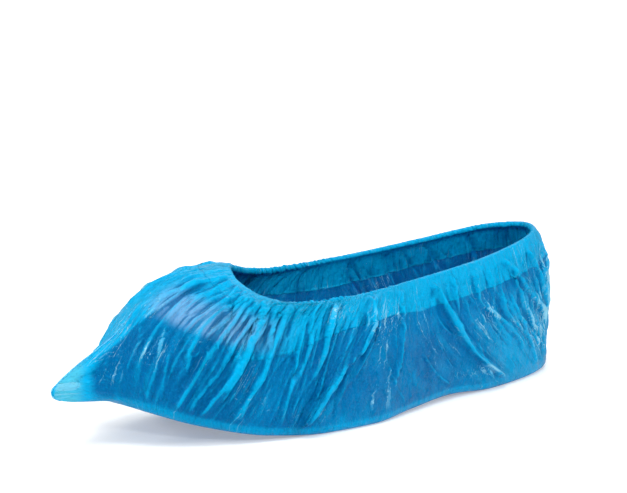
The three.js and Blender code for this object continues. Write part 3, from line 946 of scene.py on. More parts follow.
@dataclass(frozen=True)
class FilmSurface:
    """The film's outer skin: the worn form with its folds and welded ends."""

    form: WornForm
    table: WallTable
    relief: Relief
    fibres: FibreMap
    rim_fade: float = 0.07
    edge_reach: float = 6.0
    fold_calm: float = 9.0
    wrinkle_calm: float = 3.0
    corner_step: float = 1.4
    toe_turn: float = 183.0
    heel_turn: float = 22.0

    def even_fibres(self, count: int, shares: Sequence[float]) -> Array:
        """Chooses fibres that lie evenly apart where they lie widest, one of them at each weld.

        Args:
            count: How many fibres.
            shares: Shares of the way down at which the film is measured.

        Returns:
            The fibres in degrees.
        """
        dense = np.linspace(0, FULL_TURN, 7201)[:-1]
        down = np.broadcast_to(np.array(shares), (len(dense), len(shares)))
        turns = self.fibres.turns(dense, down)
        found = self.table.at(turns, down)
        found += self.form.fin_shift(found, turns)
        steps = np.linalg.norm(np.roll(found, -1, axis=0) - found, axis=-1)
        walked = np.r_[0, np.cumsum(steps.max(axis=1))]
        places = np.linspace(0, walked[-1], count + 1)[:-1]
        fibres = np.interp(places, walked, np.r_[dense, FULL_TURN])
        fibres[np.abs(fibres - FULL_TURN / 2).argmin()] = FULL_TURN / 2
        return fibres

    def hem_share(self, fibres: Array) -> Array:
        """Gives the share of the way down at which the hem ends.

        Args:
            fibres: Fibres in degrees, one for each column.

        Returns:
            A share for each fibre.
        """
        share = np.full((len(fibres), 1), 0.2)
        for _ in range(6):
            turns = self.fibres.turns(fibres, share)
            share = self.table.hem(turns) / self.table.length(turns)
        return share

    def skin(self, fibres: Array, down: Array, corner: bool) -> FilmGrid:
        """Works out a stretch of the skin.

        Args:
            fibres: Fibres in degrees, one for each column.
            down: Shares of the way down the wall, by column and row.
            corner: Whether the tread's rounded edge and turned-under rim follow.

        Returns:
            The stretch.
        """
        form, relief = self.form, self.relief
        turns = self.fibres.turns(fibres, down)
        base = self.table.at(turns, down)
        length = down * self.table.length(turns)
        if corner:
            base = np.concatenate([base, self.corner_rows(turns[:, -1])], axis=1)
            extra = base.shape[1] - down.shape[1]
            turns = np.concatenate([turns, np.repeat(turns[:, -1:], extra, axis=1)], axis=1)
            lower = length[:, -1:] + np.arange(1, extra + 1) * self.corner_step
            down = np.concatenate([down, lower / length[:, -1:]], axis=1)
            length = np.concatenate([length, lower], axis=1)
        front, middle = form.seam_facts(turns)
        from_seam = np.abs(base[..., 1] - middle)
        rim = smooth_step((1 - down) / self.rim_fade)

        turned = np.maximum((np.roll(turns, -1, 0) - np.roll(turns, 1, 0)) % FULL_TURN, 1e-3)
        fibre_turned = ((np.roll(fibres, -1) - np.roll(fibres, 1)) % FULL_TURN)[:, None]
        step = np.linalg.norm(ring_step(base), axis=-1)
        places = FilmPlaces(fibres, turns, down, length, step / turned, step / fibre_turned)
        edge = smooth_step(length / self.edge_reach)
        main = relief.main_folds(places) * calm(from_seam, self.fold_calm) * rim * edge
        folded = base + grid_normals(base) * main[..., None]

        shift = form.fin_shift(folded, turns)
        finned = folded + shift
        share = np.where(front, shift[..., 0] / form.toe_tail, 0)
        step = np.linalg.norm(ring_step(finned), axis=-1)
        places = places._replace(per_fibre=step / fibre_turned)
        around = self.ring_share(turns)
        small = relief.small_folds(places) * (1 - 0.6 * share)
        small += relief.gathers(places)
        small += relief.crumples(around, length)
        small += relief.tail_creases(finned, share, form.tail_tip())
        small *= calm(from_seam, self.wrinkle_calm) * rim * (0.4 + 0.6 * edge)
        points = finned + grid_normals(finned) * small[..., None]
        run = np.broadcast_to(fibres[:, None] / FULL_TURN * FILM_GIRTH, down.shape)
        hems = length / self.table.hem(turns)
        # Painted light and shade, the painted highlight over the toe, the hem's share and where
        # painted glints gather
        painted_light, painted_toe_highlight = self.painted_light(down, share, turns), self.painted_toe_highlight(down, turns)
        shades = np.stack([painted_light, painted_toe_highlight, hems, self.glint_clusters(down, turns)], -1)
        return FilmGrid(points, grid_normals(points), around * FILM_GIRTH, run, length,
                        main + small, shades)

    def painted_light(self, down: Array, share: Array, turns: Array) -> Array:
        """Gives painted light and shade: palest at the tail, pale over the toe and painted dark
        below it.

        Args:
            down: Shares of the way down the wall, by column and row.
            share: How much of the tail's reach each point has.
            turns: Turns in degrees, by column and row.

        Returns:
            Painted light up to 1, and below 0 where painted shade darkens the film, by column and
            row.
        """
        aside = turn_gap(turns - self.toe_turn)
        # Painted light over the toe's top and front, painted shade low on its sides
        over_toe = smooth_step((aside + 62) / 34) * smooth_step((80 - aside) / 40)
        inner = smooth_step((aside + 16) / 16)
        reach = 0.52 + 0.4 * inner
        high = smooth_step((reach - down) / 0.10)
        low = smooth_step((down - reach) / 0.05) * smooth_step((0.98 - down) / 0.03)
        tail = smooth_step((share - 0.12) / 0.6) - 0.4 * smooth_step((share - 0.94) / 0.04)
        heel = smooth_step(2.0 - np.abs(turn_gap(turns - self.heel_turn)) / 28)
        heel *= smooth_step((down - 0.15) / 0.3)
        # A painted highlight along the tread's edge, and painted shade under the tread
        rim = smooth_step((down - 0.97) / 0.03) * smooth_step((1.08 - down) / 0.03)
        under = smooth_step((down - 1.06) / 0.03)
        pale = np.maximum(np.maximum(tail, (0.46 + 0.12 * inner) * over_toe * high), 0.31 * heel)
        pale = np.maximum(pale, 0.26 * rim)
        return pale - 0.4 * over_toe * low * (1 - tail) - 0.7 * under

    def painted_toe_highlight(self, down: Array, turns: Array) -> Array:
        """Gives where a greyish painted highlight lies over the toe's side.

        Args:
            down: Shares of the way down the wall, by column and row.
            turns: Turns in degrees, by column and row.

        Returns:
            How strong the painted highlight is, up to 1, by column and row.
        """
        aside = turn_gap(turns - self.toe_turn)
        ends = smooth_step((aside + 64) / 22) * smooth_step((-2 - aside) / 14)
        return ends * smooth_step((down - 0.24) / 0.14) * smooth_step((0.55 - down) / 0.07)

    def glint_clusters(self, down: Array, turns: Array) -> Array:
        """Gives where painted glints and whitened creases gather.

        Args:
            down: Shares of the way down the wall, by column and row.
            turns: Turns in degrees, by column and row.

        Returns:
            How thickly they gather, up to 1, by column and row.
        """
        total = np.zeros_like(down)
        for turn, wide, level, high, much in GLINT_CLUSTERS:
            across, along = turn_gap(turns - turn) / wide, (down - level) / high
            total = np.maximum(total, much * np.exp(-across**2 - along**2))
        return total

    def ring_share(self, turns: Array) -> Array:
        """Gives how far round the film turns lie, measured low on the wall.

        Args:
            turns: Turns in degrees.

        Returns:
            Shares of the way round.
        """
        dense = np.linspace(0, FULL_TURN, 3601)
        down = np.full_like(dense, 0.75)
        found = self.table.at(np.minimum(dense, FULL_TURN - 1e-9), down)
        found += self.form.fin_shift(found, dense)
        steps = np.linalg.norm(np.diff(found, axis=0), axis=-1)
        walked = np.r_[0, np.cumsum(steps)]
        return np.interp(turns, dense, walked / walked[-1])

    def corner_rows(self, turns: Array) -> Array:
        """Gives the rows of the tread's rounded edge and of the rim turned under it.

        Args:
            turns: The columns' turns in degrees.

        Returns:
            Points by column and row.
        """
        form = self.form
        rows = []
        for angle in np.radians((67.5, 45.0, 22.5, 0.0)):
            row = form.sole_point(turns, form.edge_radius * (1 - np.sin(angle)))
            row[:, 2] += form.edge_radius * (1 - np.cos(angle))
            rows.append(row)
        rows.append(form.sole_point(turns, (form.edge_radius + form.turn_under) / 2))
        rows.append(form.sole_point(turns, form.turn_under))
        return np.stack(rows, axis=1)


def solid_mesh(name: str, outer: Array, inner: Array, ring: bool) -> tuple[list, Array]:
    """Gives the faces that close two matching skins into one solid.

    Args:
        name: What the solid is, for a fault's message.
        outer: The outer skin's points, by column and row.
        inner: The inner skin's.
        ring: Whether the columns close on themselves.

    Returns:
        The quads, as point indices, and each corner's column and row.
    """
    if outer.shape != inner.shape:
        raise ValueError(f"the skins of {name} don't match")
    columns, rows = outer.shape[:2]
    shift = columns * rows
    last = columns if ring else columns - 1
    column, row = np.meshgrid(np.arange(last), np.arange(rows - 1), indexing="ij")
    corners = [(column, row), (column, row + 1), (column + 1, row + 1), (column + 1, row)]
    flat = [((c % columns) * rows + r).ravel() for c, r in corners]
    places = [np.stack([c.ravel(), r.ravel()], -1) for c, r in corners]
    quads = [np.stack(flat, -1), np.stack(flat[::-1], -1) + shift]
    where = [np.stack(places, 1), np.stack(places[::-1], 1)]

    def wall(first: tuple[Array, Array], second: tuple[Array, Array]) -> None:
        """Adds the faces between the skins along one edge.

        Args:
            first: Columns and rows of the faces' first corners.
            second: Those of their second corners.
        """
        near = (first[0] % columns) * rows + first[1]
        far = (second[0] % columns) * rows + second[1]
        quads.append(np.stack([near, far, far + shift, near + shift], -1))
        ends = [np.stack(first, -1), np.stack(second, -1)]
        where.append(np.stack([ends[0], ends[1], ends[1], ends[0]], 1))

    c = np.arange(last)
    wall((c + 1, 0 * c), (c, 0 * c))
    wall((c, 0 * c + rows - 1), (c + 1, 0 * c + rows - 1))
    if not ring:
        r = np.arange(rows - 1)
        wall((0 * r, r), (0 * r, r + 1))
        wall((0 * r + columns - 1, r + 1), (0 * r + columns - 1, r))
    return np.concatenate(quads), np.concatenate(where)


@dataclass
class FilmPiece:
    """A closed piece of film, with its maps of the film's own millimetres.

    Across and down measure the film as it was made. Run follows its fibres from the collar.
    """

    name: str
    outer: Array
    inner: Array
    across: Array
    run: Array
    down: Array
    relief: Array
    shades: Array
    ring: bool = True

    def build(self, form: WornForm, finish: bpy.types.Material) -> bpy.types.Object:
        """Makes the piece's mesh.

        Args:
            form: The worn form, which places it.
            finish: Its material.

        Returns:
            The new object.
        """
        quads, where = solid_mesh(self.name, self.outer, self.inner, self.ring)
        points = np.concatenate([self.outer.reshape(-1, 3), self.inner.reshape(-1, 3)])
        mesh = bpy.data.meshes.new(self.name)
        mesh.vertices.add(len(points))
        mesh.vertices.foreach_set("co", form.place(points).astype(np.float32).ravel())
        mesh.loops.add(quads.size)
        mesh.loops.foreach_set("vertex_index", quads.astype(np.int32).ravel())
        mesh.polygons.add(len(quads))
        mesh.polygons.foreach_set("loop_start", np.arange(0, quads.size, 4, dtype=np.int32))
        mesh.polygons.foreach_set("use_smooth", np.ones(len(quads), bool))
        mesh.update(calc_edges=True)
        for chart, across in (("film", self.across), ("run", self.run)):
            self.map_corners(mesh, chart, across, where)
        rise, crest = crest_shade(self.relief, FOLD_REACH), crest_shade(self.relief, CREST_REACH)
        for shade, values in zip(SHADES, (rise, crest, *np.moveaxis(self.shades, -1, 0))):
            layer = mesh.attributes.new(shade, "FLOAT", "POINT")
            both = np.concatenate([values.ravel(), values.ravel()])
            layer.data.foreach_set("value", both.astype(np.float32))
        mesh.validate()
        mesh.materials.append(finish)
        piece = bpy.data.objects.new(self.name, mesh)
        bpy.context.scene.collection.objects.link(piece)
        return piece

    def map_corners(self, mesh: bpy.types.Mesh, chart: str, across: Array, where: Array) -> None:
        """Writes one map of the film on the mesh's corners.

        Args:
            mesh: The mesh.
            chart: The map's name.
            across: Millimetres across the film, by column and row.
            where: Each corner's column and row.
        """
        columns = self.outer.shape[0]
        column, row = where[..., 0].ravel(), where[..., 1].ravel()
        lap = np.where(column >= columns, FILM_GIRTH, 0.0)
        flow = np.stack([across[column % columns, row] + lap, self.down[column % columns, row]], -1)
        layer = mesh.uv_layers.new(name=chart)
        layer.data.foreach_set("uv", (flow * METRE).astype(np.float32).ravel())


def crest_shade(relief: Array, reach: int) -> Array:
    """Gives how far each point stands above the film around it.

    Args:
        relief: Heights by turn and row.
        reach: How many neighbours on each side count.

    Returns:
        Heights above the mean of the neighbours.
    """
    mean = np.zeros_like(relief)
    for step in range(-reach, reach + 1):
        mean += np.roll(relief, step, axis=0)
    return relief - mean / (2 * reach + 1)


@dataclass
class FilmBody:
    """The film from under the hem's lower edge down to the rim turned under the tread."""

    surface: FilmSurface
    columns: int = 860
    wall_rows: int = 51
    thickness: float = 0.25
    lap: float = 0.02
    tuck: float = 0.12

    def build(self, finish: bpy.types.Material) -> bpy.types.Object:
        """Makes the piece.

        Args:
            finish: The film's material.

        Returns:
            The new object.
        """
        fibres = self.surface.even_fibres(self.columns, (0.3, 0.6, 0.75, 0.9, 1.0))
        hem = self.surface.hem_share(fibres)
        below = np.linspace(0, 1, self.wall_rows - 1)[None]
        down = np.concatenate([hem - self.lap, hem + (1 - hem) * below], axis=1)
        grid = self.surface.skin(fibres, down, corner=True)
        tuck = np.zeros(grid.points.shape[1])
        tuck[:3] = self.tuck, self.tuck, self.tuck / 3
        outer = grid.points - grid.normals * tuck[:, None]
        inner = outer - grid.normals * self.thickness
        piece = FilmPiece("film_body", outer, inner, grid.across, grid.run, grid.length,
                          grid.relief, grid.shades)
        return piece.build(self.surface.form, finish)


@dataclass
class FilmHem:
    """The gathered hem: outer film, the roll over the elastic and the leg inside."""

    surface: FilmSurface
    columns: int = 1080
    outer_rows: int = 23
    roll_rows: int = 9
    leg_rows: int = 11
    thickness: float = 0.25
    leg_gap: float = 0.9
    roll_radius: float = 1.9
    roll_step: float = 0.8
    draw_reach: float = 5.0

    def build(self, finish: bpy.types.Material) -> bpy.types.Object:
        """Makes the piece.

        Args:
            finish: The film's material.

        Returns:
            The new object.
        """
        form = self.surface.form
        fibres = self.surface.even_fibres(self.columns, (0.0, 0.1, 0.2))
        down = self.surface.hem_share(fibres) * np.linspace(0, 1, self.outer_rows)[None]
        grid = self.surface.skin(fibres, down, corner=False)
        normals = grid.normals[:, ::-1]
        length = grid.length[:, ::-1]
        draw = (form.loop_radius - self.roll_radius) * smooth_step(1 - length / self.draw_reach)
        points = grid.points[:, ::-1] - normals * draw[..., None]

        edge, out = points[:, -1], normals[:, -1]
        up = unit(np.cross(ring_step(edge), out))
        up *= np.sign(np.sum(up * (edge - points[:, -3]), axis=-1, keepdims=True))
        centre = edge - out * self.roll_radius
        angles = np.linspace(0, np.pi, self.roll_rows + 1)[1:][None, :, None]
        away = out[:, None] * np.cos(angles) + up[:, None] * np.sin(angles)
        roll = centre[:, None] + away * self.roll_radius
        roll_within = centre[:, None] + away * (self.roll_radius - self.thickness)
        picks = np.linspace(self.outer_rows - 2, 0, self.leg_rows).round().astype(int)
        swell = np.exp(-np.arange(self.leg_rows) * 0.9 - 0.5)
        depth = self.leg_gap + (2 * self.roll_radius - self.leg_gap) * swell
        leg = points[:, picks] - normals[:, picks] * depth[None, :, None]
        leg_within = leg + normals[:, picks] * self.thickness
        outer = np.concatenate([points, roll, leg], axis=1)
        inner = np.concatenate([points - normals * self.thickness, roll_within, leg_within], axis=1)

        def whole(values: Array) -> Array:
            """Carries values on round the roll and down the leg."""
            rolled = np.repeat(values[:, -1:], self.roll_rows, axis=1)
            return np.concatenate([values, rolled, values[:, picks]], axis=1)

        turned = np.r_[np.zeros(self.outer_rows), np.arange(1, self.roll_rows + 1) * self.roll_step,
                       np.full(self.leg_rows, self.roll_rows * self.roll_step)]
        walked = whole(length)
        down = np.where(np.arange(outer.shape[1]) < self.outer_rows, walked, -walked - turned)
        across, run = whole(grid.across[:, ::-1]), whole(grid.run[:, ::-1])
        piece = FilmPiece("film_hem", outer, inner, across, run, down, whole(grid.relief[:, ::-1]),
                          whole(grid.shades[:, ::-1]))
        return piece.build(form, finish)


@dataclass
class FilmTread:
    """The film under the foot, pressed flat with shallow creases."""

    surface: FilmSurface
    stations: int = 230
    strands: int = 84
    thickness: float = 0.25
    crease_height: float = 0.8
    crease_span: float = 240.0
    edge_reach: float = 6.0
    seed: int = 31

    def build(self, finish: bpy.types.Material) -> bpy.types.Object:
        """Makes the piece.

        Args:
            finish: The film's material.

        Returns:
            The new object.
        """
        form = self.surface.form
        rim = form.sole_point(np.linspace(0, FULL_TURN, 2881)[:-1], form.turn_under)
        back, front = rim[:, 0].argmin(), rim[:, 0].argmax()
        outer_side = rim[back:front + 1]
        inner_side = np.roll(rim, -front, axis=0)[:(back - front) % len(rim) + 1][::-1]
        ease = (1 - np.cos(np.linspace(0, np.pi, self.stations))) / 2
        low, high = rim[back, 0] + 0.05, rim[front, 0] - 0.05
        along = low + (high - low) * ease
        outer_y = np.interp(along, outer_side[:, 0], outer_side[:, 1])
        inner_y = np.interp(along, inner_side[:, 0], inner_side[:, 1])
        share = np.linspace(0, 1, self.strands)[None]
        across = inner_y[:, None] + (outer_y - inner_y)[:, None] * share
        x = np.broadcast_to(along[:, None], across.shape)
        ground = form.sole_height(along)[:, None]
        inset = np.minimum(across - inner_y[:, None], outer_y[:, None] - across)
        edge = smooth_step(inset / self.edge_reach)
        place = across / self.crease_span + 0.5
        crease = ridged_noise(place + 0.03 * np.sin(x / 23.0), x / 19.0, 22, self.seed)
        fine = ridged_noise(place, x / 8.0, 48, self.seed + 1)
        lift = self.crease_height * edge * np.clip(0.5 + crease + 0.5 * fine, 0, None)
        low_skin = np.stack([x, across, ground + lift], -1)
        top_skin = low_skin + np.array([0, 0, self.thickness])
        aside = across + FILM_GIRTH
        plain = np.broadcast_to((0.0, 0.0, 2.0, 0.0), (*lift.shape, 4))
        piece = FilmPiece("film_tread", top_skin, low_skin, aside, aside, x + 50.0, lift - 0.4,
                          plain, ring=False)
        return piece.build(form, finish)


@dataclass
class WeldBead:
    """The melted bead along a heat-cut end of the film."""

    name: str
    surface: FilmSurface
    at_toe: bool
    radius: float = 0.4
    sides: int = 10
    steps: int = 150
    swells: int = 60
    seed: int = 17

    def seam_path(self) -> Array:
        """Follows the film's edge at the weld.

        Returns:
            Points from the collar down to the tread.
        """
        down = np.linspace(0.01, 1, self.steps)
        turns = np.full(self.steps, FULL_TURN / 2 if self.at_toe else 0.0)
        path = self.surface.table.at(turns, down)
        return path + self.surface.form.fin_shift(path, turns)

    def build(self, finish: bpy.types.Material) -> bpy.types.Object:
        """Makes the piece.

        Args:
            finish: The bead's material.

        Returns:
            The new object.
        """
        path = self.seam_path()
        side = np.array([0.0, 1.0, 0.0])
        out = unit(np.cross(unit(np.gradient(path, axis=0)), side))
        outward = np.array([1.0 if self.at_toe else -1.0, 0, 0.3])
        out *= np.sign(np.sum(out * outward, axis=-1, keepdims=True))
        rng = np.random.default_rng(self.seed)
        walked, knots = np.linspace(0, 1, self.steps), np.linspace(0, 1, self.swells)
        swell = np.interp(walked, knots, rng.uniform(0.6, 1.3, self.swells))
        ends = np.minimum(np.arange(self.steps), np.arange(self.steps)[::-1])
        thin = 0.35 + 0.65 * smooth_step((walked - 0.4) / 0.2)
        size = (self.radius * swell * thin * (0.3 + 0.7 * smooth_step(ends / 4.0)))[:, None, None]
        angle = np.linspace(0, 2 * np.pi, self.sides, endpoint=False)[None, :, None]
        spokes = out[:, None] * np.cos(angle) + side * np.sin(angle)
        tube = (path + out * (self.radius * 0.3))[:, None] + size * spokes
        count = self.sides
        faces = [
            (i * count + k, i * count + (k + 1) % count,
             (i + 1) * count + (k + 1) % count, (i + 1) * count + k)
            for i in range(self.steps - 1) for k in range(count)
        ]
        faces.append(tuple(range(count))[::-1])
        faces.append(tuple(range((self.steps - 1) * count, self.steps * count)))
        mesh = bpy.data.meshes.new(self.name)
        placed = self.surface.form.place(tube.reshape(-1, 3))
        mesh.from_pydata([tuple(point) for point in placed], [], faces)
        mesh.polygons.foreach_set("use_smooth", np.ones(len(faces), bool))
        mesh.validate()
        mesh.materials.append(finish)
        piece = bpy.data.objects.new(self.name, mesh)
        bpy.context.scene.collection.objects.link(piece)
        return piece


class Noise(Enum):
    """The procedural textures that the finishes use."""

    CLOUD = "ShaderNodeTexNoise"
    CELLS = "ShaderNodeTexVoronoi"


class Strokes(NamedTuple):
    """Short strokes in a finish: degrees of slant, width to length, how many a metre, rarity.

    Rarity runs from 0.5, where half of them show, to 0.75, where few do.
    """

    slant: float
    stretch: float
    scale: float
    rarity: float


class Signal:
    """A shader socket that takes part in plain Python expressions."""

    def __init__(self, tree: "ShaderTree", socket: bpy.types.NodeSocket) -> None:
        """Keeps the tree that the socket belongs to, and the socket."""
        self.tree = tree
        self.socket = socket

    def math(self, operation: str, *values: Union["Signal", float]) -> "Signal":
        """Adds a Math node.

        Args:
            operation: The node's operation.
            *values: Its inputs, in order.

        Returns:
            The node's result.
        """
        inputs = dict(enumerate(values))
        node = self.tree.node("ShaderNodeMath", {"operation": operation}, inputs)
        return Signal(self.tree, node.outputs[0])

    def __add__(self, other: Union["Signal", float]) -> "Signal":
        """Adds."""
        return self.math("ADD", self, other)

    def __radd__(self, other: float) -> "Signal":
        """Adds to a number."""
        return self.math("ADD", other, self)

    def __sub__(self, other: Union["Signal", float]) -> "Signal":
        """Subtracts."""
        return self.math("SUBTRACT", self, other)

    def __rsub__(self, other: float) -> "Signal":
        """Subtracts from a number."""
        return self.math("SUBTRACT", other, self)

    def __mul__(self, other: Union["Signal", float]) -> "Signal":
        """Multiplies."""
        return self.math("MULTIPLY", self, other)

    def __rmul__(self, other: float) -> "Signal":
        """Multiplies a number."""
        return self.math("MULTIPLY", other, self)

    def __pow__(self, other: Union["Signal", float]) -> "Signal":
        """Raises to a power."""
        return self.math("POWER", self, other)

    def __abs__(self) -> "Signal":
        """Drops the sign."""
        return self.math("ABSOLUTE", self)

    def sine(self) -> "Signal":
        """Takes the sine."""
        return self.math("SINE", self)

    def most(self, other: Union["Signal", float]) -> "Signal":
        """Keeps the larger."""
        return self.math("MAXIMUM", self, other)

    def least(self, other: Union["Signal", float]) -> "Signal":
        """Keeps the smaller."""
        return self.math("MINIMUM", self, other)

    def eased(self, low: float, high: float) -> "Signal":
        """Eases from 0 to 1 while the value goes from low to high.

        Args:
            low: Where the step starts.
            high: Where it ends.

        Returns:
            The eased value.
        """
        node = self.tree.node(
            "ShaderNodeMapRange", {"interpolation_type": "SMOOTHSTEP"},
            {"Value": self, "From Min": low, "From Max": high},
        )
        return Signal(self.tree, node.outputs["Result"])


SocketValue = Union[Signal, float, Sequence[float]]
Inputs = dict[Union[str, int], SocketValue]


class ShaderTree:
    """A material's node tree."""

    def __init__(self, name: str) -> None:
        """Starts an empty material.

        Args:
            name: The material's name.
        """
        self.material = bpy.data.materials.new(name)
        self.material.use_nodes = True
        self.nodes = self.material.node_tree.nodes
        self.links = self.material.node_tree.links
        self.nodes.clear()

    def node(self, kind: str, settings: Optional[dict[str, str]] = None,
             inputs: Optional[Inputs] = None) -> bpy.types.Node:
        """Adds a node.

        Args:
            kind: The node's type.
            settings: Its settings, which are set first.
            inputs: Values or links of its sockets, by name or number.

        Returns:
            The node.
        """
        node = self.nodes.new(kind)
        for key, value in (settings or {}).items():
            setattr(node, key, value)
        for key, value in (inputs or {}).items():
            if isinstance(value, Signal):
                self.links.new(value.socket, node.inputs[key])
            else:
                node.inputs[key].default_value = value
        return node

    def signal(self, node: bpy.types.Node, output: Union[str, int] = 0) -> Signal:
        """Wraps a node's output."""
        return Signal(self, node.outputs[output])

    def noise(self, place: Signal, scale: float, detail: float = 2.0,
              kind: Noise = Noise.CLOUD) -> Signal:
        """Adds a texture.

        Args:
            place: Where it is read.
            scale: Its cells in a metre.
            detail: How many finer layers it has.
            kind: Which texture.

        Returns:
            Its value.
        """
        inputs: Inputs = {"Vector": place, "Scale": scale, "Detail": detail}
        output = "Distance" if kind is Noise.CELLS else 0
        return self.signal(self.node(kind.value, {}, inputs), output)

    def ridges(self, place: Signal, scale: float, detail: float) -> Signal:
        """Adds a texture of sharp crests.

        Args:
            place: Where it is read.
            scale: Its cells in a metre.
            detail: How many finer layers it has.

        Returns:
            Its height, 1 at the crests.
        """
        return (1.0 - abs(self.noise(place, scale, detail) * 2.0 - 1.0)) ** 3.0

    def strokes(self, across: Signal, along: Signal, kind: Strokes) -> Signal:
        """Adds short thin strokes that lie one way.

        Args:
            across: Metres across them.
            along: Metres along them.
            kind: Which strokes.

        Returns:
            1 in a stroke and 0 beside it.
        """
        slant, stretch, scale, rarity = kind
        cosine, sine = math.cos(math.radians(slant)), math.sin(math.radians(slant))
        place = self.vector(across * cosine + along * sine,
                            (along * cosine - across * sine) * stretch, slant + stretch)
        return self.noise(place, scale, 1.0).eased(rarity, rarity + 0.08)

    def chart(self, name: str) -> tuple[Signal, Signal]:
        """Reads a map of the film.

        Args:
            name: The map's name.

        Returns:
            Its two measures, in metres.
        """
        place = self.signal(self.node("ShaderNodeUVMap", {"uv_map": name}))
        parts = self.node("ShaderNodeSeparateXYZ", {}, {0: place})
        return self.signal(parts, 0), self.signal(parts, 1)

    def attribute(self, name: str) -> Signal:
        """Gives a number that the mesh carries."""
        return self.signal(self.node("ShaderNodeAttribute", {"attribute_name": name}), 2)

    def mix(self, share: Union[Signal, float], first: SocketValue, second: SocketValue) -> Signal:
        """Mixes two colours.

        Args:
            share: How much of the second.
            first: The first colour.
            second: The second one.

        Returns:
            The mixed colour.
        """
        sockets = {0: share, 6: solid_colour(first), 7: solid_colour(second)}
        node = self.node("ShaderNodeMix", {"data_type": "RGBA"}, sockets)
        return self.signal(node, 2)

    def vector(self, x: SocketValue, y: SocketValue, z: SocketValue) -> Signal:
        """Joins three numbers into a vector."""
        return self.signal(self.node("ShaderNodeCombineXYZ", {}, {0: x, 1: y, 2: z}))

    def bump(self, height: Signal, depth: float, strength: float = 1.0,
             under: Optional[Signal] = None) -> Signal:
        """Turns a height into a normal.

        Args:
            height: The height, where 1 is the full depth.
            depth: The full depth in metres.
            strength: How much of the effect shows.
            under: A normal that it lies on.

        Returns:
            The normal.
        """
        inputs: Inputs = {"Height": height, "Distance": depth, "Strength": strength}
        if under is not None:
            inputs["Normal"] = under
        return self.signal(self.node("ShaderNodeBump", {}, inputs))

    def finish(self, shader: Signal) -> bpy.types.Material:
        """Links the surface and gives the material."""
        self.node("ShaderNodeOutputMaterial", {}, {"Surface": shader})
        return self.material


def solid_colour(value: SocketValue) -> SocketValue:
    """Adds full opacity to a plain colour and leaves a link as it is."""
    return value if isinstance(value, Signal) else (*value, 1.0)


